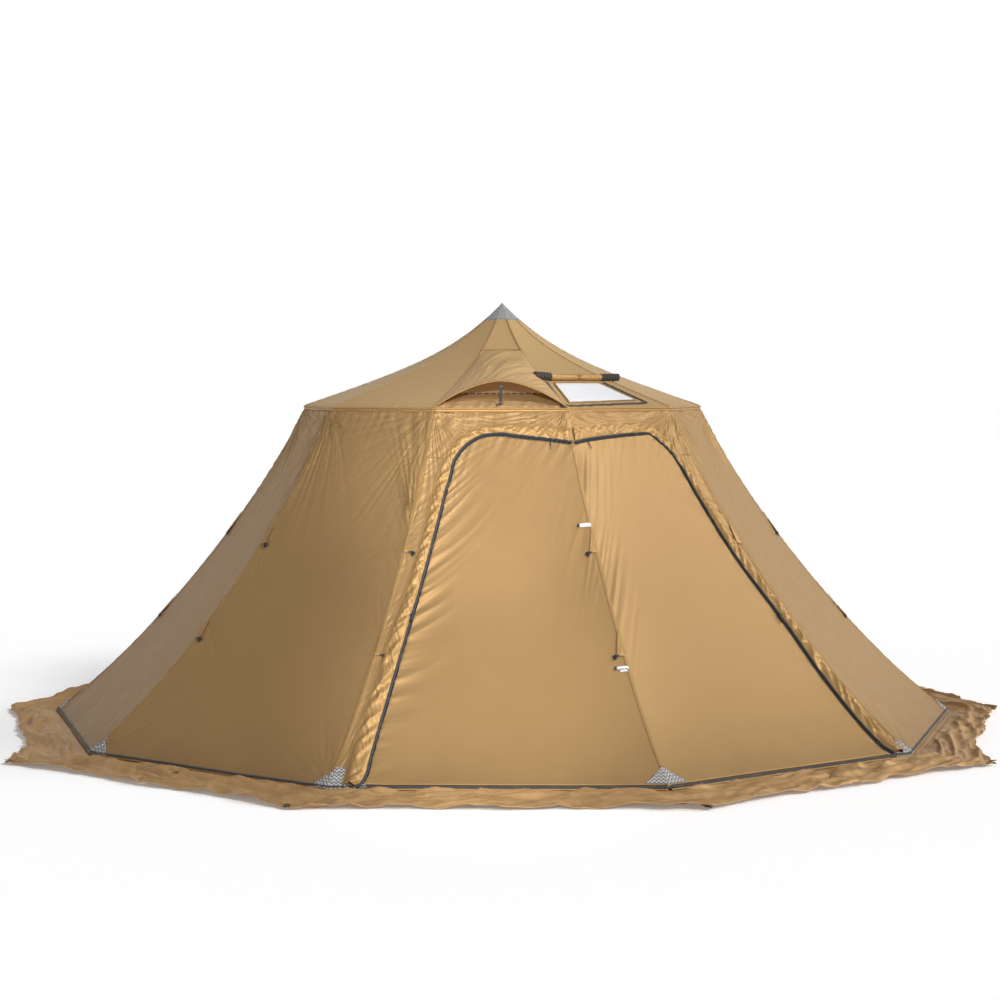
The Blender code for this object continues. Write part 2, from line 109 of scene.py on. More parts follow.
def noise(x, y=0.0, seed=0):
    """Smooth gradient noise, about -1 to 1."""
    x, y = np.broadcast_arrays(np.asarray(x, float), np.asarray(y, float))
    ix, iy = np.floor(x).astype(np.int64), np.floor(y).astype(np.int64)
    fx, fy = x - ix, y - iy
    u, v = fx ** 3 * (fx * (fx * 6 - 15) + 10), fy ** 3 * (fy * (fy * 6 - 15) + 10)

    def g(dx, dy):
        a = _hash(ix + dx, iy + dy, seed) * 2 * math.pi
        return np.cos(a) * (fx - dx) + np.sin(a) * (fy - dy)
    return 1.5 * ((g(0, 0) * (1 - u) + g(1, 0) * u) * (1 - v) + (g(0, 1) * (1 - u) + g(1, 1) * u) * v)


def crease(x, y=0.0, seed=0):
    """Noise with sharp crests and round valleys, as tensioned cloth puckers."""
    return 1.0 - 2.2 * np.abs(noise(x, y, seed))


def smooth(x):
    x = np.clip(x, 0, 1)
    return x * x * (3 - 2 * x)


# ------------------------------------------------------------------ meshes
def mesh_object(name, co, quads, uv=None, mat=None, smooth_shade=True, attr=None):
    me = bpy.data.meshes.new(name)
    co = np.asarray(co, np.float32).reshape(-1, 3)
    quads = np.asarray(quads, np.int32)
    me.vertices.add(len(co))
    me.vertices.foreach_set("co", co.ravel())
    me.loops.add(quads.size)
    me.loops.foreach_set("vertex_index", quads.ravel())
    me.polygons.add(len(quads))
    me.polygons.foreach_set("loop_start", np.arange(len(quads), dtype=np.int32) * quads.shape[1])
    me.polygons.foreach_set("loop_total", np.full(len(quads), quads.shape[1], np.int32))
    me.update(calc_edges=True)
    if uv is not None:
        layer = me.uv_layers.new(name="UVMap")
        layer.data.foreach_set("uv", np.asarray(uv, np.float32).reshape(-1, 2)[quads.ravel()].ravel())
    if attr is not None:
        for key, val in attr.items():
            a = me.attributes.new(key, "FLOAT", "POINT")
            a.data.foreach_set("value", np.asarray(val, np.float32).ravel())
    me.polygons.foreach_set("use_smooth", np.full(len(quads), smooth_shade, bool))
    me.validate()
    o = bpy.data.objects.new(name, me)
    bpy.context.scene.collection.objects.link(o)
    if mat is not None:
        me.materials.append(mat)
    return o


def cloth(name, P, N, uv, mat, thick=0.0009, attr=None, wrap=False):
    """A closed thin cloth from a grid of points P (nu, nv, 3): its outer face, and an inner face thick below it.
    u runs left to right and v upwards, seen from outside."""
    nu, nv = P.shape[:2]
    inner = P - N * thick
    co = np.concatenate([P.reshape(-1, 3), inner.reshape(-1, 3)])
    idx = np.arange(nu * nv).reshape(nu, nv)
    if wrap:
        idx = np.concatenate([idx, idx[:1]])
    a, b, c, d = idx[:-1, :-1], idx[1:, :-1], idx[1:, 1:], idx[:-1, 1:]
    out = np.stack([a, b, c, d], -1).reshape(-1, 4)
    off = nu * nv
    inn = np.stack([a, d, c, b], -1).reshape(-1, 4) + off
    rim = []

    def edge(e):
        rim.append(np.stack([e[1:], e[:-1], e[:-1] + off, e[1:] + off], -1))
    edge(idx[:, 0]); edge(idx[::-1, -1])
    if not wrap:
        edge(idx[0, ::-1]); edge(idx[-1, :])
    quads = np.concatenate([out, inn] + rim)
    uv2 = np.concatenate([uv.reshape(-1, 2)] * 2)
    at = None if attr is None else {k: np.concatenate([np.asarray(v).ravel()] * 2) for k, v in attr.items()}
    return mesh_object(name, co, quads, uv2, mat, attr=at)


def tube(name, path, radius, mat, sides=8, closed=False, flat=1.0, normals=None, caps=True, uvscale=1.0):
    """A tube along path. flat squeezes it along normals."""
    path = np.asarray(path, float)
    n = len(path)
    if closed:
        tan = np.roll(path, -1, 0) - np.roll(path, 1, 0)
    else:
        tan = np.gradient(path, axis=0)
    tan /= np.linalg.norm(tan, axis=1, keepdims=True) + 1e-12
    if normals is None:
        ref = np.tile(UP, (n, 1))
        ref[np.abs(tan @ UP) > 0.95] = (1, 0, 0)
        normals = ref
    nn = normals - tan * (normals * tan).sum(1, keepdims=True)
    nn /= np.linalg.norm(nn, axis=1, keepdims=True) + 1e-12
    bb = np.cross(tan, nn)
    radius = np.broadcast_to(np.asarray(radius, float), (n,))
    ang = np.arange(sides) * 2 * math.pi / sides
    ring = (bb[:, None] * np.cos(ang)[None, :, None] + nn[:, None] * (np.sin(ang) * flat)[None, :, None]) * radius[:, None, None] + path[:, None]
    idx = np.arange(n * sides).reshape(n, sides)
    if closed:
        idx = np.concatenate([idx, idx[:1]])
    a, b = idx[:-1], idx[1:]
    quads = np.stack([a, np.roll(a, -1, 1), np.roll(b, -1, 1), b], -1).reshape(-1, 4)
    dist = np.concatenate([[0], np.cumsum(np.linalg.norm(np.diff(path, axis=0), axis=1))])
    uv = np.stack(np.broadcast_arrays(dist[:, None] * uvscale, (np.arange(sides) / sides)[None, :]), -1)
    o = mesh_object(name, ring, quads[:, ::-1] if False else quads, uv, mat)
    if caps and not closed:
        bm = bmesh.new(); bm.from_mesh(o.data); bm.verts.ensure_lookup_table()
        bm.faces.new([bm.verts[i] for i in idx[0][::-1]])
        bm.faces.new([bm.verts[i] for i in idx[-1]])
        bm.to_mesh(o.data); bm.free()
    fix_normals(o)
    return o


def fix_normals(o):
    bm = bmesh.new(); bm.from_mesh(o.data)
    bmesh.ops.recalc_face_normals(bm, faces=bm.faces)
    bm.to_mesh(o.data); bm.free()
    o.data.update()


def join(name, objs):
    """Joins plain meshes into one object, keeping materials."""
    dg = bpy.context.evaluated_depsgraph_get()
    bm = bmesh.new()
    mats = []
    me_out = bpy.data.meshes.new(name)
    for o in objs:
        me = o.data
        remap = []
        for m in me.materials:
            if m not in mats:
                mats.append(m)
            remap.append(mats.index(m))
        start = len(bm.faces)
        tmp = me.copy()
        tmp.transform(o.matrix_world)
        bm.from_mesh(tmp)
        bm.faces.ensure_lookup_table()
        for f in bm.faces[start:]:
            f.material_index = remap[f.material_index] if remap else 0
        bpy.data.meshes.remove(tmp)
    bm.to_mesh(me_out); bm.free()
    for m in mats:
        me_out.materials.append(m)
    out = bpy.data.objects.new(name, me_out)
    bpy.context.scene.collection.objects.link(out)
    for o in objs:
        bpy.data.objects.remove(o)
    return out


def spline(points, n, closed=False):
    """Catmull-Rom through points, n samples, roughly even."""
    P = np.asarray(points, float)
    if not closed:
        P = np.concatenate([2 * P[:1] - P[1:2], P, 2 * P[-1:] - P[-2:-1]])
    else:
        P = np.concatenate([P[-1:], P, P[:2]])
    out = []
    for i in range(1, len(P) - 2):
        t = np.linspace(0, 1, 24, endpoint=False)[:, None]
        p0, p1, p2, p3 = P[i - 1], P[i], P[i + 1], P[i + 2]
        out.append(0.5 * (2 * p1 + (p2 - p0) * t + (2 * p0 - 5 * p1 + 4 * p2 - p3) * t ** 2 + (3 * p1 - p0 - 3 * p2 + p3) * t ** 3))
    out.append(P[-2:-1])
    out = np.concatenate(out)
    s = np.concatenate([[0], np.cumsum(np.linalg.norm(np.diff(out, axis=0), axis=1))])
    q = np.linspace(0, s[-1], n, endpoint=not closed)
    return np.stack([np.interp(q, s, out[:, i]) for i in range(out.shape[1])], 1)


# ------------------------------------------------------------------ materials
def lin(c):
    return [((v / 255) / 12.92 if v <= 10 else ((v / 255 + 0.055) / 1.055) ** 2.4) for v in c]


class Nodes:
    def __init__(self, name):
        self.mat = bpy.data.materials.new(name)
        self.mat.use_nodes = True
        self.t = self.mat.node_tree
        self.b = self.t.nodes["Principled BSDF"]

    def add(self, kind, **kw):
        n = self.t.nodes.new(kind)
        for k, v in kw.items():
            if k in n.inputs:
                n.inputs[k].default_value = v
            else:
                setattr(n, k, v)
        return n

    def link(self, a, b):
        self.t.links.new(a, b)

    def mix(self, fac, a, b, mode="MIX"):
        n = self.add("ShaderNodeMix", data_type="RGBA", blend_type=mode)
        for sock, val in ((n.inputs[0], fac), (n.inputs[6], a), (n.inputs[7], b)):
            if hasattr(val, "node"):
                self.link(val, sock)
            else:
                sock.default_value = val
        return n.outputs[2]

    def math(self, op, a, b=0.0, clamp=False):
        n = self.add("ShaderNodeMath", operation=op, use_clamp=clamp)
        for sock, val in ((n.inputs[0], a), (n.inputs[1], b)):
            if hasattr(val, "node"):
                self.link(val, sock)
            else:
                sock.default_value = val
        return n.outputs[0]

    def attr(self, name):
        return self.add("ShaderNodeAttribute", attribute_name=name).outputs["Fac"]

    def noise(self, vec, scale, detail=3.0, rough=0.5):
        n = self.add("ShaderNodeTexNoise", Scale=scale, Detail=detail, Roughness=rough)
        self.link(vec, n.inputs["Vector"])
        return n.outputs["Fac"]


def fabric(name, rgb, rough=0.5, sheen=0.25, weave=0.0011, bump=0.22, mottle=0.10, dirt=(112, 88, 62), spec=0.3, metallic=0.0, zigzag=0.0):
    m = Nodes(name)
    base = lin(rgb) + [1.0]
    obj = m.add("ShaderNodeTexCoord").outputs["Object"]
    uv = m.add("ShaderNodeUVMap", uv_map="UVMap").outputs["UV"]
    big = m.noise(obj, 1.7, 2.0)
    mid = m.noise(obj, 11.0, 3.0)
    fine = m.noise(obj, 160.0, 2.0)
    dark = [c * (1 - mottle * 1.6) for c in base[:3]] + [1]
    pale = [min(1, c * (1 + mottle * 1.3)) for c in base[:3]] + [1]
    c = m.mix(big, dark, pale)
    c = m.mix(m.math("MULTIPLY", mid, 0.35), c, base)
    c = m.mix(m.math("MULTIPLY", fine, 0.18), c, dark)
    c = m.mix(m.math("MULTIPLY", m.attr("dirt"), m.math("ADD", mid, 0.35), True), c, lin(dirt) + [1])
    if zigzag:
        sz = m.add("ShaderNodeSeparateXYZ")
        m.link(uv, sz.inputs[0])
        tri = m.math("PINGPONG", sz.outputs[0], zigzag)
        ph = m.math("SINE", m.math("MULTIPLY", m.math("ADD", sz.outputs[1], m.math("MULTIPLY", tri, 0.9)), 2 * math.pi / (zigzag * 1.25)))
        fac = m.math("ADD", m.math("MULTIPLY", ph, 0.5), 0.5, True)
        c = m.mix(fac, m.mix(1.0, c, (0.42, 0.42, 0.43, 1), "MULTIPLY"), m.mix(0.35, c, (1, 1, 1, 1)))
    m.link(c, m.b.inputs["Base Color"])
    m.b.inputs["Metallic"].default_value = metallic
    m.b.inputs["Specular IOR Level"].default_value = spec
    m.b.inputs["Sheen Weight"].default_value = sheen
    m.b.inputs["Specular Tint"].default_value = [0.5 + 0.5 * v for v in base[:3]] + [1] if metallic else (1, 1, 1, 1)
    m.b.inputs["Sheen Roughness"].default_value = 0.45
    m.link(m.math("ADD", m.math("MULTIPLY", m.math("SUBTRACT", mid, 0.5), 0.16), rough), m.b.inputs["Roughness"])
    sep = m.add("ShaderNodeSeparateXYZ")
    m.link(uv, sep.inputs[0])
    w = 2 * math.pi / weave
    wx = m.math("SINE", m.math("MULTIPLY", sep.outputs[0], w))
    wy = m.math("SINE", m.math("MULTIPLY", sep.outputs[1], w))
    weave_h = m.math("MULTIPLY", wx, wy)
    tiny = m.noise(uv, 380.0, 2.0)
    h = m.math("ADD", m.math("MULTIPLY", weave_h, 0.5), m.math("MULTIPLY", tiny, 0.9))
    bp = m.add("ShaderNodeBump", Strength=bump, Distance=0.0004)
    m.link(h, bp.inputs["Height"])
    crumple = m.add("ShaderNodeBump", Strength=0.12, Distance=0.004)
    m.link(m.noise(obj, 26.0, 3.0, 0.6), crumple.inputs["Height"])
    m.link(bp.outputs[0], crumple.inputs["Normal"])
    m.link(crumple.outputs[0], m.b.inputs["Normal"])
    return m.mat


def plain(name, rgb, rough, metallic=0.0, spec=0.5, coat=0.0, bump=0.08, scale=90.0, vary=0.08):
    m = Nodes(name)
    base = lin(rgb) + [1.0]
    obj = m.add("ShaderNodeTexCoord").outputs["Object"]
    n = m.noise(obj, scale, 3.0)
    c = m.mix(n, [v * (1 - vary * 2) for v in base[:3]] + [1], [min(1, v * (1 + vary * 2)) for v in base[:3]] + [1])
    m.link(c, m.b.inputs["Base Color"])
    m.b.inputs["Metallic"].default_value = metallic
    m.b.inputs["Specular IOR Level"].default_value = spec
    m.b.inputs["Coat Weight"].default_value = coat
    m.b.inputs["Coat Roughness"].default_value = 0.15
    m.link(m.math("ADD", m.math("MULTIPLY", n, 0.12), rough - 0.06), m.b.inputs["Roughness"])
    bp = m.add("ShaderNodeBump", Strength=bump, Distance=0.0006)
    m.link(m.noise(obj, scale * 6, 3.0), bp.inputs["Height"])
    m.link(bp.outputs[0], m.b.inputs["Normal"])
    return m.mat


TAN = (163, 131, 88)
M_WALL = fabric("tent_cloth_wall", TAN, rough=0.46, sheen=0.0, bump=0.15, mottle=0.045, metallic=0.30, spec=0.12)
# painted light: the roof cloth is the wall cloth painted lighter, standing in for the stronger light on the up-facing
# roof, its ridge seams and the vent hood
M_ROOF_PAINTED_LIGHTER = fabric("tent_cloth_roof_painted_lighter", (196, 163, 115), rough=0.46, sheen=0.0, bump=0.15, mottle=0.045, metallic=0.28, spec=0.12)
M_TRIM = fabric("tent_cloth_trim", (172, 137, 89), rough=0.42, sheen=0.0, bump=0.2, mottle=0.06, metallic=0.32, spec=0.15)
M_SKIRT = fabric("skirt_cloth", (187, 150, 104), rough=0.46, sheen=0.0, spec=0.15, bump=0.2, mottle=0.08, dirt=(112, 84, 56), metallic=0.28)
M_TAPE = fabric("grey_webbing", (58, 62, 68), rough=0.6, sheen=0.05, weave=0.0022, bump=0.6, mottle=0.12, dirt=(96, 84, 70))
M_PATCH = fabric("grey_reinforcement", (128, 129, 126), rough=0.6, sheen=0.1, weave=0.009, bump=1.0, mottle=0.12, zigzag=0.010, dirt=(112, 100, 84))
M_VELCRO = fabric("dark_hook_tape", (66, 61, 58), rough=0.85, sheen=0.15, weave=0.003, bump=0.9, mottle=0.15)
M_WHITE = fabric("fireproof_cloth", (222, 222, 224), rough=0.75, sheen=0.0, weave=0.002, bump=0.4, mottle=0.03, dirt=(190, 186, 176))
# painted light: the insect mesh is coloured pale and glows with a warm emission, standing in for light that comes
# through the cloth into the shaded vent
M_MESH_PAINTED_GLOW = fabric("mosquito_mesh", (176, 146, 102), rough=0.8, sheen=0.1, weave=0.0018, bump=0.9, mottle=0.15)
mb = next(n for n in M_MESH_PAINTED_GLOW.node_tree.nodes if n.type == "BSDF_PRINCIPLED")
mb.inputs["Emission Color"].default_value = (0.30, 0.16, 0.065, 1)
mb.inputs["Emission Strength"].default_value = 0.42
M_THREAD = plain("thread", (150, 120, 78), 0.7, vary=0.15)
M_DTHREAD = plain("dark_thread", (60, 54, 48), 0.7, vary=0.1)
M_BLACK = plain("black_plastic", (34, 34, 36), 0.42, spec=0.5, bump=0.15)
M_ALU = plain("pole_aluminium", (176, 178, 182), 0.3, metallic=1.0, bump=0.05, scale=30)
M_ROD = plain("glass_fibre_rod", (40, 40, 42), 0.35, coat=0.4, bump=0.05, scale=30)
M_RUBBER = plain("rubber_foot", (30, 30, 31), 0.75, bump=0.3)
M_REFLECT = plain("reflective_tape", (226, 228, 230), 0.4, metallic=0.15, bump=0.1)
M_STEEL = plain("dark_ring_metal", (70, 68, 66), 0.35, metallic=0.9, bump=0.05)


# ------------------------------------------------------------------ how the cloth lies
def fan(x, z, cx, cz, amp, reach, f=9.0, r0=0.03, seed=1, lo=-9.0, hi=9.0):
    """Pleats that radiate from a pulled corner. lo and hi bound the direction, in radians from +x."""
    dx, dz = x - cx, z - cz
    r = np.hypot(dx, dz) + 1e-6
    a = np.arctan2(dz, dx)
    win = smooth((a - lo) / 0.25) * smooth((hi - a) / 0.25)
    return amp * win * crease(a * f, np.log(r + 0.05) * 1.1, seed) * smooth(r / r0) * np.exp(-r / reach) * np.minimum(1.0, r / 0.12 + 0.25)


def wall_disp(k, x, z):
    """How far the wall cloth stands off its smooth surface, for side k."""
    x, z = np.broadcast_arrays(np.asarray(x, float), np.asarray(z, float))
    s = 31 + 7 * (k % 10)
    hw = r_wall(z) * S18
    dl, dr = np.maximum(x + hw, 0), np.maximum(hw - x, 0)
    de = np.minimum(dl, dr)
    top = np.maximum(Z_EAVE - z, 0)
    pin = smooth(de / 0.012)
    up = smooth((z - 0.5) / 0.9)
    out = 0.0036 * noise(x * 1.5, z * 1.2 + 3.0, s) * smooth(de / 0.3)
    out = out + 0.0012 * noise(x * 5.0 + z * 2.0, z * 3.2, s + 1) * smooth(de / 0.1)
    # puckers along both ridge seams, drawn upwards away from the ridge, stronger towards the top
    for d, e, tilt in ((dl, 0, 1.0), (dr, 1, 1.0)):
        c = z - d * (0.9 + 0.5 * noise(z * 1.3, 0.0, s + 5 + e)) * tilt
        a = 0.0026 + 0.0052 * up
        a = a * (0.55 + 0.45 * noise(z * 2.1, 0.4, s + 9 + e))
        out = out + a * 0.80 * crease(c * 21.0, d * 6.0, s + 2 + e) * np.exp(-d / (0.045 + 0.055 * up)) * smooth(d / 0.012)
        out = out + 0.0026 * crease(c * 43.0, d * 9.0, s + 3 + e) * np.exp(-d / 0.035) * smooth(d / 0.006)
    # gathers that hang from the eave seam
    out = out + 0.0044 * crease(x * 17.0 + top * 4.0, z * 1.4, s + 12) * np.exp(-top / 0.12) * smooth(top / 0.012)
    out = out + 0.0020 * crease(x * 38.0, z * 3.0, s + 13) * np.exp(-top / 0.05) * smooth(top / 0.006)
    # tension fans from the eave corners and the base corners
    out = out + fan(x, z, -R_EAVE * S18, Z_EAVE, 0.0110, 0.26, 10.0, seed=s + 20) * pin
    out = out + fan(x, z, R_EAVE * S18, Z_EAVE, 0.0110, 0.26, 10.0, seed=s + 21) * pin
    out = out + fan(x, z, -R_BASE * S18, 0.0, 0.0075, 0.18, 9.0, seed=s + 22) * pin
    out = out + fan(x, z, R_BASE * S18, 0.0, 0.0075, 0.18, 9.0, seed=s + 23) * pin
    # the hem
    out = out + 0.0022 * noise(x * 7.0, z * 3.0, s + 30) * np.exp(-np.maximum(z, 0) / 0.07) * smooth(z / 0.01)
    if k % 10 == 9:
        # long folds between the eave and the tab two thirds up the ridge beside the door
        rz = 1.09
        out = out + fan(x, z, r_wall(np.array(rz)) * S18, rz, 0.0140, 0.42, 13.0, r0=0.10, seed=77, lo=1.2, hi=2.35) * smooth(dr / 0.03) * 1.6
    if k % 10 in (0, 9, 1, 2):
        for tz in (0.64, 1.09):
            for e in (-1, 1):
                out = out + fan(x, z, e * r_wall(np.array(tz)) * S18, tz, 0.0050, 0.13, 7.0, r0=0.02, seed=s + 40 + int(tz * 10) + e) * pin
    return out


BIND_L = [(-.642, .015), (-.616, .028), (-.596, .062), (-.585, .108), (-.564, .194), (-.425, .695), (-.386, .834), (-.305, 1.153), (-.277, 1.273), (-.256, 1.343),
          (-.238, 1.424), (-.223, 1.455), (-.198, 1.490), (-.153, 1.531), (-.090, 1.562), (-.004, 1.570), (.090, 1.559), (.263, 1.541), (.3565, 1.528)]
BIND_R = [(-.3565, 1.528), (-.247, 1.544), (-.007, 1.563), (.135, 1.564), (.191, 1.526), (.249, 1.457), (.288, 1.352), (.318, 1.225), (.394, .927), (.497, .622),
          (.556, .330), (.611, .092), (.661, .022)]
BL = spline(BIND_L, 420)
BR = spline(BIND_R, 420)
_rise_l = BL[BL[:, 1] < 1.50]
_rise_r = BR[BR[:, 1] < 1.50][::1]


def zip_x(k, z):
    """x of the door's zip on side 0 (left) or side 1 (right), at height z."""
    z = np.asarray(z, float)
    if k == 0:
        m = BL[: np.argmax(BL[:, 1])]
        return np.interp(z, m[:, 1], m[:, 0])
    m = BR[np.argmax(BR[:, 1]):][::-1]
    return np.interp(z, m[:, 1], m[:, 0])


def door_top(k, x):
    """z of the door's upper edge above x."""
    if k == 0:
        m = BL[BL[:, 0] > -0.28]
        return np.interp(x, m[:, 0], m[:, 1])
    m = BR[BR[:, 0] < 0.26]
    return np.interp(x, m[:, 0], m[:, 1])


def leaf_disp(k, x, z):
    """Extra folds of the door cloth, which is slacker than the walls."""
    x, z = np.broadcast_arrays(np.asarray(x, float), np.asarray(z, float))
    hw = r_wall(z) * S18
    near = np.exp(-np.abs(x - zip_x(k, z)) / 0.05)
    out = wall_disp(k, x, z) * (0.10 + 0.5 * near)
    out = out + 0.0040 * noise(x * 1.1, z * 0.9, 300 + k) * smooth((hw - np.abs(x)) / 0.2)
    if k == 0:
        d = np.maximum(x - zip_x(0, z), 0.0)
        tan = np.interp(z, [0.0, 0.25, 0.6, 0.95, 1.3, 1.6], [0.05, 0.10, 0.28, 0.85, 1.25, 1.1])
        c = z - d * tan
        a = 0.0105 * np.interp(z, [0, .1, .4, .9, 1.3, 1.5], [.25, .6, .9, 1.0, .55, .1])
        reach = 0.125 + 0.05 * noise(z * 3.0, 0.0, 301)
        out = out + a * crease(c * 11.5, d * 2.2, 302) * np.exp(-(d / reach) ** 1.7) * smooth(d / 0.02)
        out = out + 0.0036 * crease(c * 28.0, d * 4.0, 303) * np.exp(-d / 0.07) * smooth(d / 0.008)
        # slanted pleats left of the middle seam, half way up
        r = hw - x
        out = out + 0.0040 * crease((z + r * 2.2) * 9.0, r * 4.0, 305) * np.exp(-(r / 0.14) ** 2) * smooth(r / 0.03) * np.exp(-((z - 1.0) / 0.22) ** 2)
        out = out + 0.0030 * noise(z * 26.0, x * 2.0, 306) * np.exp(-((z - 0.05) / 0.05) ** 2) * smooth((x + 0.1) / 0.3)
    else:
        d = np.maximum(zip_x(1, z) - x, 0.0)
        c = z - d * 0.9
        out = out + 0.0050 * crease(c * 13.0, d * 3.0, 312) * np.exp(-d / 0.07) * smooth(d / 0.02) * (0.4 + 0.6 * smooth((z - 0.7) / 0.5))
        r = x + hw
        win = np.exp(-((z - 1.37) / 0.13) ** 2)
        out = out + 0.0095 * crease((z * 0.55 - r * 1.9) * 12.0, r * 1.0, 313) * np.exp(-(r / 0.13) ** 2) * smooth(r / 0.012) * win
        out = out + 0.0060 * crease((z * 0.8 - r * 1.5) * 12.0, r * 1.0, 314) * np.exp(-(r / 0.12) ** 2) * smooth(r / 0.012) * np.exp(-((z - 0.88) / 0.25) ** 2)
    t = door_top(k, x) - z
    out = out + 0.0034 * crease(x * 16.0 + t * 8.0, t * 3.0, 320 + k) * np.exp(-np.maximum(t, 0) / 0.10) * smooth(t / 0.015)
    return out


def roof_disp(k, x, r):
    x, r = np.broadcast_arrays(np.asarray(x, float), np.asarray(r, float))
    s = 501 + 7 * (k % 10)
    hw = r * S18
    out = 0.0030 * noise(x * 2.0, r * 2.0, s) * smooth((hw - np.abs(x)) / 0.15) * smooth((R_EAVE - r) / 0.05)
    for e, d in ((0, x + hw), (1, hw - x)):
        d = np.maximum(d, 0)
        out = out + 0.0014 * crease(r * 24.0 + d * 14.0, d * 5.0, s + 2 + e) * np.exp(-d / 0.035) * smooth(d / 0.01)
    t = np.maximum(R_EAVE - r, 0)
    out = out + 0.0034 * crease(x * 14.0 + t * 6.0, r * 2.0, s + 6) * np.exp(-t / 0.07) * smooth(t / 0.008)
    return out


# ------------------------------------------------------------------ panels
TOP_Z = Z_EAVE
def cut_size(P, wrap=False):
    """Area and both lengths of the cloth in a grid as it is built, folds included."""
    Q = np.concatenate([P, P[:1]]) if wrap else P
    area = float(0.5 * np.linalg.norm(np.cross(Q[1:, 1:] - Q[:-1, :-1], Q[1:, :-1] - Q[:-1, 1:]), axis=2).sum())
    return area, float(np.linalg.norm(np.diff(Q, axis=0), axis=2).sum(0).max()), float(np.linalg.norm(np.diff(Q, axis=1), axis=2).sum(1).max())


def wall_piece(name, k, xl, xr, z0, z1, nu, nv, disp, mat, lift=0.0, thick=0.0009, zrow=None):
    nu, nv = max(8, int(nu * RES)), max(8, int(nv * RES))
    v = np.linspace(0, 1, nv)
    if zrow is None:
        z = z0 + (z1 - z0) * v
        Z = np.tile(z, (nu, 1))
    else:
        Z = None
    u = np.linspace(0, 1, nu)[:, None]
    if Z is None:
        X, Z = zrow(u, v[None, :])
    else:
        X = xl(z)[None, :] * (1 - u) + xr(z)[None, :] * u
    flat = wall_xyz(k, X, Z, 0.0)
    P = wall_xyz(k, X, Z, disp(k, X, Z) + lift)
    # normals of the smooth wall, for an even thickness
    N = wall_normal(k, Z)
    uv = np.stack([X, Z * 1.25], -1)
    hem = np.exp(-np.maximum(Z, 0) / 0.10) * (0.55 + 0.4 * noise(X * 6, Z * 9, 3)) * 0.55
    o = cloth(name, P, N, uv, mat, thick, {"dirt": np.clip(hem, 0, 1)})
    area, w_, l_ = cut_size(P)
    return o, area, (w_, l_)


SHEETS = []


def declare(o):
    SHEETS.append(o)


ridge_l = lambda z: -r_wall(z) * S18
ridge_r = lambda z: r_wall(z) * S18
WALL_LOW = 0.0055
for k in range(2, 10):
    front = k in (9, 2)
    nu, nv = (170, 230) if front else (110, 150)
    o, a, sz = wall_piece(f"wall_cloth_{k + 1}", k, ridge_l, ridge_r, WALL_LOW, TOP_Z, nu, nv, wall_disp, M_WALL)
    declare(o)
    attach(o, "tent"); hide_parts(f"wall_panel_{k + 1}")

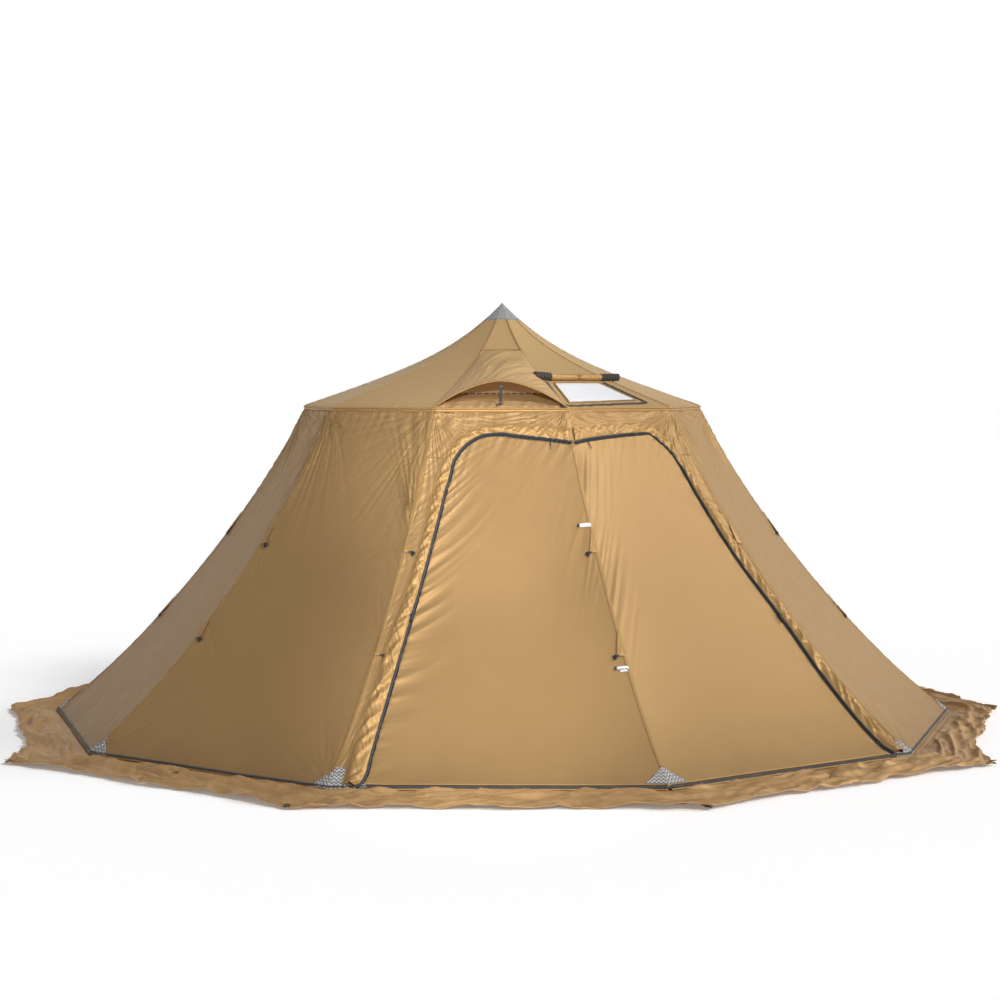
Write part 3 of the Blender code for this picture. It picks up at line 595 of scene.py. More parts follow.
HEAD_Z = 1.5305
GAP = 0.002
for tag, k in (("left", 0), ("right", 1)):
    if k == 0:
        jl, jr = ridge_l, lambda z: zip_x(0, z) - GAP / 2
        ll, lr = lambda z: zip_x(0, z) + GAP / 2, ridge_r
    else:
        jl, jr = lambda z: zip_x(1, z) + GAP / 2, ridge_r
        ll, lr = ridge_l, lambda z: zip_x(1, z) - GAP / 2
    # the strip of wall beside the door, up to where the zip turns over
    o, a, sz = wall_piece(f"door_side_cloth_{tag}", k, jl, jr, WALL_LOW, 1.455, 40, 220, wall_disp, M_WALL)
    declare(o)
    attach(o, "tent"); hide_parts(f"door_jamb_{tag}")

    def head(u, v, k=k):
        """From the eave down to the door's upper edge."""
        hw_top = R_EAVE * S18
        if k == 0:
            low_x = np.interp(u, [0, .30, 1], [-r_wall(1.455) * S18, zip_x(0, 1.455) - GAP / 2, r_wall(1.528) * S18])
        else:
            low_x = np.interp(u, [0, .70, 1], [-r_wall(1.528) * S18, zip_x(1, 1.455) + GAP / 2, r_wall(1.455) * S18])
        low_z = np.where((low_x < zip_x(0, 1.455)) if k == 0 else (low_x > zip_x(1, 1.455)), 1.455, door_top(k, low_x) + GAP / 2)
        low_z = np.maximum(low_z, 1.455)
        Z = low_z + (Z_EAVE - low_z) * v
        top_x = hw_top * (2 * u - 1)
        X = low_x * (1 - v) + top_x * v
        lim = r_wall(Z) * S18
        X = np.where(u < 1e-9, -lim, np.where(u > 1 - 1e-9, lim, np.clip(X, -lim, lim)))
        return X, Z
    o, a, sz = wall_piece(f"door_head_cloth_{tag}", k, None, None, 0, 0, 190, 60, wall_disp, M_WALL, zrow=head)
    declare(o)
    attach(o, "tent"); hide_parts(f"door_header_{tag}")

    def leaf(u, v, k=k):
        """The door cloth of this side, from its foot to the curved top."""
        z0 = 0.0245
        if k == 0:
            x_out = BL[:, 0][BL[:, 1] < 1.50].max()
        cu = u if k == 0 else 1 - u          # 0 at the zip, 1 at the middle seam
        corner = 0.22
        zc = 1.40
        # boundary on the zip side runs up to zc; the rest of the curve is the top edge
        path = BL if k == 0 else BR[::-1]
        i0 = np.argmax(path[:, 1] > zc)
        edge = path[i0:]
        s = np.concatenate([[0], np.cumsum(np.hypot(*np.diff(edge, axis=0).T))])
        s = s / s[-1]
        tx, tz = np.interp(cu, s, edge[:, 0]), np.interp(cu, s, edge[:, 1])
        tz = tz - GAP / 2
        Zc = tz                                                    # top z for this column
        Z = z0 + (Zc - z0) * v
        zipx = zip_x(k, np.minimum(Z, zc))
        rid = r_wall(Z) * S18 * (1 if k == 0 else -1)
        base = zipx * (1 - cu) + rid * cu                          # straight blend across
        full = tx
        w = smooth((v - 0.55) / 0.45)
        lin_top = zip_x(k, zc) * (1 - cu) + (r_wall(tz) * S18 * (1 if k == 0 else -1)) * cu
        X = base + (full - lin_top) * w
        X = np.where(cu > 1 - 1e-9, rid, X)
        return X, Z
    o, a, sz = wall_piece(f"door_cloth_{tag}", k, None, None, 0, 0, 200, 270, leaf_disp, M_WALL, zrow=leaf)
    declare(o)
    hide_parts(f"door_leaf_{tag}")
    zc0, zc1 = 0.05, 1.45
    c0, c1 = wall_xyz(k, zip_x(k, zc0), zc0), wall_xyz(k, zip_x(k, zc1), zc1)
    chord = (c1 - c0) / np.linalg.norm(c1 - c0)
    across = np.cross(side(k)[1], chord) * (1 if k == 0 else -1)
    across -= side(k)[1] * (across @ side(k)[1]); across /= np.linalg.norm(across)
    if across @ side(k)[0] * (1 if k == 0 else -1) < 0:
        across = -across
    BLEND = {0: None, 1: None} if k == 0 else BLEND
    BLEND[k] = (c0, c0 + across * 0.30)
    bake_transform(o)


# ------------------------------------------------------------------ small makers
def band(name, centre, normal, width, mat, thick=0.0016, lift=0.001, across=None, nw=5, crown=0.0, taper=None, dirt=None, closed=False):
    """A strip of tape along centre, lying on the surface whose normals are given."""
    C = np.asarray(centre, float)
    N = np.asarray(normal, float)
    T = np.gradient(C, axis=0)
    T /= np.linalg.norm(T, axis=1, keepdims=True) + 1e-12
    if across is None:
        A = np.cross(T, N)
        A /= np.linalg.norm(A, axis=1, keepdims=True) + 1e-12
    else:
        A = across
    w = np.broadcast_to(np.asarray(width, float), (len(C),)) / 2
    s = np.linspace(-1, 1, nw)
    P = C[None] + A[None] * (s[:, None] * w[None])[..., None] + N[None] * (lift + thick + crown * (1 - s ** 2))[:, None, None]
    Nn = np.broadcast_to(N[None], P.shape)
    d = np.concatenate([[0], np.cumsum(np.linalg.norm(np.diff(C, axis=0), axis=1))])
    uv = np.stack([np.broadcast_to((s[:, None] * w[None]), P.shape[:2]), np.broadcast_to(d[None], P.shape[:2])], -1)
    at = {"dirt": np.zeros(P.shape[:2]) if dirt is None else np.broadcast_to(dirt[None], P.shape[:2])}
    o = cloth(name, P, Nn, uv, mat, thick, at)
    fix_normals(o)
    return o


def stitches(name, C, N, mat, gap=0.0095, length=0.0062, r=0.0007, lift=0.0008, side_off=0.0):
    """A row of stitches along a line on the cloth."""
    C, N = np.asarray(C, float), np.asarray(N, float)
    T = np.gradient(C, axis=0)
    T /= np.linalg.norm(T, axis=1, keepdims=True) + 1e-12
    A = np.cross(T, N)
    A /= np.linalg.norm(A, axis=1, keepdims=True) + 1e-12
    C = C + A * side_off
    s = np.concatenate([[0], np.cumsum(np.linalg.norm(np.diff(C, axis=0), axis=1))])
    q = np.arange(gap, s[-1] - gap, gap)
    if len(q) < 1:
        return None
    at = lambda M, v: np.stack([np.interp(v, s, M[:, i]) for i in range(3)], 1)
    c, t, n, a = at(C, q), at(T, q), at(N, q), at(A, q)
    shape = np.array([(-.5, -1, 0), (-.5, 1, 0), (.5, 1, 0), (.5, -1, 0), (-.32, -.6, 1), (-.32, .6, 1), (.32, .6, 1), (.32, -.6, 1)], float)
    v = c[:, None] + t[:, None] * (shape[None, :, 0:1] * length) + a[:, None] * (shape[None, :, 1:2] * r) + n[:, None] * (shape[None, :, 2:3] * r * 1.5 + lift - 0.0002)
    f = np.array([(0, 1, 2, 3), (4, 7, 6, 5), (0, 4, 5, 1), (1, 5, 6, 2), (2, 6, 7, 3), (3, 7, 4, 0)])
    quads = (np.arange(len(q))[:, None, None] * 8 + f[None]).reshape(-1, 4)
    o = mesh_object(name, v.reshape(-1, 3), quads, np.zeros((len(q) * 8, 2)), mat, smooth_shade=False)
    fix_normals(o)
    return o


def box(name, centre, axes, size, mat, bevel=0.0, segs=2):
    bm = bmesh.new()
    bmesh.ops.create_cube(bm, size=1.0)
    if bevel:
        for v in bm.verts:
            v.co = Vector((v.co.x * size[0], v.co.y * size[1], v.co.z * size[2]))
        bmesh.ops.bevel(bm, geom=list(bm.edges), offset=bevel, segments=segs, affect="EDGES", profile=0.6)
        size = (1, 1, 1)
    m = Matrix([Vector(axes[0]) * size[0], Vector(axes[1]) * size[1], Vector(axes[2]) * size[2]]).transposed().to_4x4()
    m.translation = Vector(centre)
    bmesh.ops.transform(bm, matrix=m, verts=bm.verts)
    bmesh.ops.recalc_face_normals(bm, faces=bm.faces)
    me = bpy.data.meshes.new(name)
    bm.to_mesh(me); bm.free()
    me.materials.append(mat)
    me.shade_smooth(); me.set_sharp_from_angle(angle=math.radians(40))
    o = bpy.data.objects.new(name, me)
    bpy.context.scene.collection.objects.link(o)
    return o


def lathe(name, prof, mat, loc=(0, 0, 0), steps=32, axis=(0, 0, 1), close=False, sharp=35):
    bm = bmesh.new()
    rings = []
    for r, z in prof:
        if r < 1e-9:
            rings.append([bm.verts.new((0, 0, z))] * steps)
        else:
            rings.append([bm.verts.new((r * math.cos(2 * math.pi * i / steps), r * math.sin(2 * math.pi * i / steps), z)) for i in range(steps)])
    n = len(prof)
    for j in range(n if close else n - 1):
        a, b = rings[j], rings[(j + 1) % n]
        for i in range(steps):
            q = []
            for v in (a[i], a[(i + 1) % steps], b[(i + 1) % steps], b[i]):
                if v not in q:
                    q.append(v)
            if len(q) > 2:
                bm.faces.new(q)
    bmesh.ops.recalc_face_normals(bm, faces=bm.faces)
    rot = Vector((0, 0, 1)).rotation_difference(Vector(axis)).to_matrix().to_4x4()
    rot.translation = Vector(loc)
    bmesh.ops.transform(bm, matrix=rot, verts=bm.verts)
    me = bpy.data.meshes.new(name)
    bm.to_mesh(me); bm.free()
    me.materials.append(mat)
    me.shade_smooth(); me.set_sharp_from_angle(angle=math.radians(sharp))
    o = bpy.data.objects.new(name, me)
    bpy.context.scene.collection.objects.link(o)
    return o


def torus(name, centre, normal, R, r, mat, n=28, m=10, ex=(1.0, 1.0)):
    nrm = Vector(normal).normalized()
    a = nrm.orthogonal().normalized(); b = nrm.cross(a)
    t = np.arange(n) * 2 * math.pi / n
    path = np.array([np.array(centre) + np.array(a) * R * ex[0] * math.cos(q) + np.array(b) * R * ex[1] * math.sin(q) for q in t])
    return tube(name, path, r, mat, m, closed=True, normals=np.tile(np.array(nrm), (n, 1)))


def ride(o, body, *nodes, slot=None):
    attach(o, body)
    if nodes:
        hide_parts(*nodes)
    return o


# ------------------------------------------------------------------ roof
def roof_piece(name, k, r0, r1, nu, nv, disp=roof_disp, mat=None, lift=0.0, edge_l=None, edge_r=None):
    nu, nv = max(8, int(nu * RES)), max(8, int(nv * RES))
    r = (r1 + (r0 - r1) * np.linspace(0, 1, nv) ** 1.0)
    u = np.linspace(-1, 1, nu)[:, None]
    X = u * (r * S18)[None, :]
    R = np.tile(r, (nu, 1))
    P = roof_xyz(k, X, R, disp(k, X, R) + lift)
    N = roof_normal(k, R)
    flat = roof_xyz(k, X, R, 0.0)
    uv = np.stack([X, -R * 1.08], -1)
    o = cloth(name, P, N, uv, mat or M_ROOF_PAINTED_LIGHTER, 0.0009, {"dirt": 0.12 * np.exp(-(R_EAVE - R) / 0.03) * np.ones_like(X)})
    area, w_, l_ = cut_size(P)
    return o, area, (w_, l_)


ROOF_TOP = 0.070
EDGE_R = R_EAVE + 0.004
for k in range(2, 10):
    front = k in (9, 2)
    o, a, sz = roof_piece(f"roof_cloth_{k + 1}", k, ROOF_TOP, EDGE_R, 120 if front else 70, 150 if front else 90)
    declare(o)
    ride(o, "tent", f"roof_panel_{k + 1}", slot="tent_cloth")
o, a, sz = roof_piece("roof_cloth_front_top", 0, ROOF_TOP, VENT_TOP_R + 0.006, 60, 60)
declare(o); ride(o, "tent", "roof_panel_front", slot="tent_cloth")


def band_disp(k, x, r):
    out = roof_disp(k, x, r)
    return out + 0.0060 * crease(x * 17.0, r * 2.5, 611) * smooth((r - 0.99) / 0.03) * smooth((1.095 - r) / 0.01)


o, a, sz = roof_piece("roof_cloth_vent_band", 0, VENT_LOW_R - 0.08, EDGE_R, 150, 46, disp=band_disp)
declare(o); ride(o, "tent", "roof_vent_band", slot="tent_cloth")
o, a, sz = roof_piece("roof_cloth_stove", 1, ROOF_TOP, EDGE_R, 150, 170)
declare(o); ride(o, "tent", "roof_panel_stove", slot="tent_cloth")


# insect mesh across the vent, sagging below the roof line
def mesh_sheet():
    n, m = int(70 * RES), int(70 * RES)
    r = np.linspace(VENT_LOW_R - 0.07, VENT_TOP_R + 0.02, m)
    u = np.linspace(-1, 1, n)[:, None]
    X = u * (r * S18 - 0.012)[None, :]
    R = np.tile(r, (n, 1))
    q = np.abs(u) * np.ones_like(R)
    d = -0.004 - 0.014 * (1 - q ** 2) * smooth((VENT_LOW_R - 0.07 - R) / 0.2) + 0.003 * noise(X * 9, R * 7, 620)
    P = roof_xyz(0, X, R, d)
    o = cloth("vent_insect_mesh", P, roof_normal(0, R), np.stack([X, R], -1), M_MESH_PAINTED_GLOW, 0.0006, {"dirt": 0 * X})
    declare(o)
    return ride(o, "tent", "vent_mesh", slot="mosquito_mesh")


mesh_sheet()

# ------------------------------------------------------------------ hood over the vent, held up by a prop
Y0 = -VENT_TOP_R * C18
ZH0 = float(z_roof(np.array(VENT_TOP_R))) + 0.0045


def hood_rise(r):
    return ZH0 + (HOOD_FRONT_Z - ZH0) * (-r * C18 - Y0) / (HOOD_FRONT_Y - Y0) - z_roof(r)


def hood_front(q):
    """Corner radius of the hood's free edge at share q of the half side."""
    return 1.0620 + 0.036 * np.abs(q) ** 2.2


def hood_xyz(q, r, d=0.0):
    p = roof_xyz(0, q * r * S18, r, 0.0035)
    p[..., 2] += hood_rise(r) * np.clip(1 - np.abs(q) ** 1.75, 0, 1) + d
    return p


def hood_disp(q, r):
    x = q * r * S18
    v = smooth((r - VENT_TOP_R) / 0.05)
    free = np.maximum(hood_front(q) - r, 0)
    # folds that run from the upper seam down to the left, and slack beside the prop
    out = 0.0150 * crease((x * 0.9 + (r - 0.35) * 0.62) * 8.5, (x - r) * 1.3, 701) * np.exp(-((r - 0.62) / 0.22) ** 2) * smooth((1 - np.abs(q)) / 0.3) * v
    out = out + 0.0070 * crease((x * 1.2 + r * 0.5) * 15.0, (x - r) * 2.0, 702) * np.exp(-((r - 0.80) / 0.2) ** 2) * smooth((1 - np.abs(q)) / 0.25) * v
    out = out + 0.0040 * noise(x * 6.0, r * 3.0, 703) * v * smooth((1 - np.abs(q)) / 0.2)
    return out * smooth(free / 0.03) * 0.9


for tag, qa, qb in (("left", -1.0, 0.0), ("right", 0.0, 1.0)):
    n, m = int(110 * RES), int(190 * RES)
    q = np.linspace(qa, qb, n)[:, None] * np.ones((1, m))
    v = np.linspace(1, 0, m)[None, :] * np.ones((n, 1))
    r = VENT_TOP_R + (hood_front(q) - VENT_TOP_R) * v
    P = hood_xyz(q, r, hood_disp(q, r))
    # surface normals from the grid
    du, dv = np.gradient(P, axis=0), np.gradient(P, axis=1)
    N = np.cross(du, dv)
    N /= np.linalg.norm(N, axis=2, keepdims=True)
    N[N[..., 2] < 0] *= -1
    o = cloth(f"vent_hood_cloth_{tag}", P, N, np.stack([q * r * S18, -r], -1), M_ROOF_PAINTED_LIGHTER, 0.0009, {"dirt": 0 * q})
    fix_normals(o)
    area, w_, l_ = cut_size(P)
    declare(o)
    # hem along the free edge
    qq = np.linspace(qa, qb, int(120 * RES))
    rr = hood_front(qq)
    E, E2 = hood_xyz(qq, rr), hood_xyz(qq, rr - 0.012)
    tn = np.gradient(E, axis=0); back = E2 - E
    nn = np.cross(tn, back); nn /= np.linalg.norm(nn, axis=1, keepdims=True)
    nn[nn[:, 2] < 0] *= -1
    back /= np.linalg.norm(back, axis=1, keepdims=True)
    hem = band(f"hem_{tag}", E + back * 0.0065, nn, 0.015, M_TRIM, thick=0.0022, lift=-0.0008, across=back)
    st = stitches(f"hemst_{tag}", E + back * 0.0120, nn, M_THREAD, lift=0.0018)
    roll = tube(f"hemroll_{tag}", E, 0.0030, M_TRIM, 8)
    h = join(f"vent_hood_hem_{tag}", [hem, roll, st])
    for ob in (o, h):
        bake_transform(ob)
    if tag == "left":
        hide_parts("vent_hood_flap", "vent_cheek_left")
    else:
        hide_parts("vent_cheek_right")

# upper seam of the vent, with a dashed line of stitching
xs = np.linspace(-1, 1, 60)
R_ = np.full(60, VENT_TOP_R - 0.004)
C = roof_xyz(0, xs * (VENT_TOP_R * S18), R_, 0.0022)
seam = band("vt", C, roof_normal(0, R_), 0.016, M_TRIM, thick=0.0012, lift=0.0012)
s1 = stitches("vts", C, roof_normal(0, R_), M_DTHREAD, gap=0.015, length=0.009, r=0.0010, lift=0.0028, side_off=0.0)
ride(join("vent_top_seam", [seam, s1]), "tent")

# dark dashed hook tape under the hood
R_ = np.full(90, 0.902)
xs = np.linspace(-0.265, 0.265, 90)
C = roof_xyz(0, xs, R_, 0.002)
pieces_ = []
for i in range(15):
    a, b = i * 6, min(i * 6 + 5, 89)
    if b - a > 1:
        pieces_.append(band(f"hk{i}", C[a:b], roof_normal(0, R_[a:b]), 0.010, M_VELCRO, thick=0.0014, lift=0.0005 + 0.0006 * (i % 2)))
ride(join("vent_hook_tape", pieces_), "tent")

# the prop
PB = roof_xyz(0, np.array(0.0), np.array(1.065), 0.0)
PROP = [
    box("p0", PB + UP * (0.0085 + 0.0467), ((1, 0, 0), (0, 1, 0), (0, 0, 1)), (0.0135, 0.0055, 0.088), M_VELCRO, 0.0012),
    box("p1", PB + UP * 0.0945, ((1, 0, 0), (0, 1, 0), (0, 0, 1)), (0.020, 0.009, 0.013), M_BLACK, 0.002),
    box("p2", PB + UP * 0.0145, ((1, 0, 0), (0, 1, 0), (0, 0, 1)), (0.019, 0.008, 0.012), M_BLACK, 0.002),
]
for sx in (-0.0052, 0.0052):
    PROP.append(stitches(f"ps{sx}", np.linspace(PB + UP * 0.02 + np.array([sx, -0.0028, 0]), PB + UP * 0.088 + np.array([sx, -0.0028, 0]), 10),
                         np.tile(np.array([0.0, -1.0, 0.0]), (10, 1)), M_DTHREAD, gap=0.005, length=0.003, r=0.0005, lift=0.0))
prop = join("vent_prop_strap", PROP)
ride(prop, "prop", "vent_prop", slot="grey_webbing")
nb = roof_normal(0, np.array(1.065))
foot = box("pf", PB + nb * 0.0030, ((1, 0, 0), np.cross(nb, (1, 0, 0)), nb), (0.046, 0.016, 0.004), M_VELCRO, 0.0014)
ride(foot, "tent"); foot.name = "vent_prop_base"

# ------------------------------------------------------------------ stove opening and its rolled cover, side 1
J = np.array([(-.180, .753), (.117, .753), (.183, 1.000), (-.281, 1.030)])      # white patch: x, r
n, m = int(60 * RES), int(50 * RES)
u, v = np.linspace(0, 1, n)[:, None], np.linspace(0, 1, m)[None, :]
XR = ((J[3] * (1 - u)[..., None] + J[2] * u[..., None]) * (1 - v)[..., None] + (J[0] * (1 - u)[..., None] + J[1] * u[..., None]) * v[..., None])
X, R = XR[..., 0], XR[..., 1]
inside = smooth(np.minimum(np.minimum(u, 1 - u) * 8, np.minimum(v, 1 - v) * 6))
P = roof_xyz(1, X, R, roof_disp(1, X, R) + 0.0022 + 0.0028 * inside + 0.0016 * noise(X * 8, R * 8, 801) * inside)
o = cloth("stove_patch_cloth", P, roof_normal(1, R), XR, M_WHITE, 0.0016, {"dirt": 0.10 * (1 - inside)})
area, w_, l_ = cut_size(P)
declare(o)
ride(o, "tent", "stove_jack_panel", slot="fireproof_cloth")


def on_roof(pts, n, lift=0.0, wob=0.0, seed=0):
    q = spline(pts, n) if len(pts) > 2 else np.linspace(pts[0], pts[1], n)
    x, r = q[:, 0], q[:, 1]
    x = x + wob * noise(np.arange(n) * 0.25, 0.3, seed)
    r = r + wob * noise(np.arange(n) * 0.25, 5.3, seed)
    return roof_xyz(1, x, r, roof_disp(1, x, r) + lift), roof_normal(1, r)


parts = []
for i, (pts, w, nn_) in enumerate((([(-.224, .740), (-.357, 1.088)], 0.024, 40), ([(-.352, 1.078), (.212, 1.044)], 0.017, 60), ([(.151, .745), (.222, 1.040)], 0.014, 40))):
    C, N = on_roof(pts, nn_, 0.0006, 0.0022, 810 + i)
    parts.append(band(f"jv{i}", C, N, w, M_VELCRO, thick=0.0020, lift=0.0008 + 0.0004 * i, crown=0.0006))
    for off in (-0.42, 0.42):
        parts.append(stitches(f"jvs{i}{off}", C, N, M_DTHREAD, lift=0.0034 + 0.0004 * i, side_off=off * w))
# sewn frame of the patch
for i in range(4):
    a, b = J[i], J[(i + 1) % 4]
    C, N = on_roof([tuple(a), tuple(b)], 30, 0.0026)
    parts.append(band(f"jf{i}", C, N, 0.010, M_TRIM, thick=0.0010, lift=0.0010))
    parts.append(stitches(f"jfs{i}", C, N, M_THREAD, lift=0.0022))
ride(join("stove_hook_tapes", parts), "tent")

# roll: a tube of cloth with a raised lap along it, narrowed at the tie in the middle
RC_L, RC_R = -0.283, 0.273
nr = int(150 * RES) + 20
xs = np.linspace(RC_L, RC_R, nr)
rr = np.interp(xs, [RC_L, RC_R], [0.712, 0.708])
cen = roof_xyz(1, xs, rr, 0.0)
nrm = roof_normal(1, rr)
tdir = side(1)[0]
down = np.cross(tdir, nrm)
sec = int(44 * RES) + 12
tie_d = np.exp(-((xs - 0.008) / 0.02) ** 2)
rad = 0.0160 + 0.0012 * noise(xs * 14, 0.0, 820) - 0.0040 * tie_d
black = (xs < -0.180) | (xs > 0.155)
ribs = 0.0036 * np.sin(xs * 2 * math.pi / 0.0190)
rad = rad + np.where(black, ribs + 0.0012, 0.0)
cen = cen + nrm * (0.0180 + 0.0015 * noise(xs * 7, 1.0, 821) + 0.012 * smooth((-0.12 - xs) / 0.16))[:, None] + down * (0.002 * noise(xs * 5, 2.0, 822))[:, None]
ang = np.linspace(0, 2 * math.pi, sec, endpoint=False)
wrinkle = 0.0009 * noise(ang[None, :] * 3.0, xs[:, None] * 20, 823) + 0.0016 * np.exp(-((ang[None, :] - 1.1) / 0.18) ** 2)
Rr = rad[:, None] + wrinkle
ring = cen[:, None] + nrm[:, None] * (np.sin(ang)[None, :] * Rr)[..., None] + down[:, None] * (np.cos(ang)[None, :] * Rr)[..., None]
idx = np.arange(nr * sec).reshape(nr, sec)
quads = np.stack([idx[:-1], np.roll(idx[:-1], -1, 1), np.roll(idx[1:], -1, 1), idx[1:]], -1).reshape(-1, 4)
uv = np.stack(np.broadcast_arrays(xs[:, None], ang[None, :] * 0.016), -1)
roll = mesh_object("stove_cover_roll", ring, quads, uv, M_TRIM, attr={"dirt": np.zeros(nr * sec)})
roll.data.materials.append(M_VELCRO)
mi = np.zeros(len(quads), np.int32)
xm = np.repeat(0.5 * (xs[:-1] + xs[1:]), sec)
mi[(xm < -0.180) | (xm > 0.155)] = 1
roll.data.polygons.foreach_set("material_index", mi)
bm = bmesh.new(); bm.from_mesh(roll.data); bm.verts.ensure_lookup_table()
for ids in (idx[0][::-1], idx[-1]):
    f = bm.faces.new([bm.verts[i] for i in ids]); f.material_index = 1
bmesh.ops.recalc_face_normals(bm, faces=bm.faces)
bm.to_mesh(roll.data); bm.free()
ride(roll, "jack_cover", "stove_jack_cover", slot="tent_cloth")
# the tie round the roll
i0 = int(np.argmin(np.abs(xs - 0.008)))
tp = np.array([cen[i0] + nrm[i0] * math.sin(a) * 0.0142 + down[i0] * math.cos(a) * 0.0142 for a in np.linspace(0, 2 * math.pi, 26, endpoint=False)])
loop = tube("t0", tp, 0.0024, M_TRIM, 8, closed=True, flat=0.6)
bow = []
for sg in (-1, 1):
    base = cen[i0] + nrm[i0] * 0.0165
    pts = [base, base + tdir * sg * 0.010 + nrm[i0] * 0.006, base + tdir * sg * 0.024 + nrm[i0] * 0.001 + down[i0] * 0.004, base + tdir * sg * 0.012 + down[i0] * 0.009 - nrm[i0] * 0.001, base]
    bow.append(tube(f"t{sg + 3}", spline(pts, 26), 0.0022, M_TRIM, 7, flat=0.6))
    bow.append(tube(f"e{sg + 3}", spline([base, base + tdir * sg * 0.008 + down[i0] * 0.012, base + tdir * sg * 0.018 + down[i0] * 0.020 - nrm[i0] * 0.004], 14), 0.0020, M_TRIM, 7, flat=0.6))
ride(join("stove_cover_tie", [loop] + bow), "jack_cover")
# the part of the cover that stays sewn on above the patch
C0, N0 = on_roof([(-.165, .700), (.150, .700)], 40, 0.0)
o = band("stove_cover_sewn_edge", C0, N0, 0.030, M_TRIM, thick=0.0012, lift=0.0010)
ride(o, "tent")

# ------------------------------------------------------------------ apex cap
n, m = int(200 * RES), int(60 * RES)
th = np.linspace(0, 2 * math.pi, n, endpoint=False)[:, None]
v = np.linspace(0, 1, m)[None, :]
low = 0.099 + 0.004 * np.sin(th * 10) * 0 + 0.002 * noise(th * 6, 0.0, 901)
rc = low * (1 - v) ** 1.0 + 0.0005 * v
dec = np.abs(((th / (2 * HALF)) % 1.0) - 0.5) * 2           # 0 at a side's middle, 1 at a ridge
fac = C18 / np.cos((1 - dec) * 0 + (dec * HALF))
rad = rc * (C18 / np.cos(HALF * dec)) / 1.0
zc_ = z_roof(rc) + 0.0030 + 0.0014 * noise(th * 5, v * 4, 902) * (1 - v)
tip = np.exp(-(rc / 0.020) ** 2)
zc_ = np.minimum(zc_, 2.2718 - rc * 0.02) - 0.004 * tip * (rc / 0.02)
az = th - math.pi / 2 - HALF + HALF
P = np.stack([rad * np.cos(az + HALF), rad * np.sin(az + HALF), zc_], -1)
N = np.stack([np.cos(az + HALF) * np.ones_like(rc), np.sin(az + HALF) * np.ones_like(rc), 1.0 * np.ones_like(rc)], -1)
N /= np.linalg.norm(N, axis=2, keepdims=True)
cap = cloth("apex_cap_cloth", P, N, np.stack(np.broadcast_arrays(th * 0.09, rc * 1.4), -1), M_PATCH, 0.0012, {"dirt": 0.25 * np.ones_like(rc)}, wrap=True)
bm = bmesh.new(); bm.from_mesh(cap.data); bmesh.ops.remove_doubles(bm, verts=[vv for vv in bm.verts if math.hypot(vv.co.x, vv.co.y) < 0.0012], dist=0.0008)
bmesh.ops.holes_fill(bm, edges=[e for e in bm.edges if e.is_boundary], sides=0)
bmesh.ops.recalc_face_normals(bm, faces=bm.faces)
bm.to_mesh(cap.data); bm.free()
C = P[:, 1]
ride(cap, "tent", "apex_cap", slot="grey_reinforcement")
st = stitches("apex_cap_stitching", np.concatenate([P[:, 2], P[:1, 2]]), np.concatenate([N[:, 2], N[:1, 2]]), M_DTHREAD, lift=0.0004)
ride(st, "tent")

# ------------------------------------------------------------------ seams
def wall_line(k, x, z, lift=0.0, disp=wall_disp):
    x, z = np.asarray(x, float), np.asarray(z, float)
    return wall_xyz(k, x, z, disp(k, x, z) + lift), wall_normal(k, z)


def ridge_frame(c, z):
    """Point and outward normal on ridge c, between side c-1 and side c."""
    z = np.asarray(z, float)
    p = wall_xyz(c, -r_wall(z) * S18, z)
    nn = wall_normal(c, z) + wall_normal((c - 1) % 10, z)
    return p, nn / np.linalg.norm(nn, axis=-1, keepdims=True)


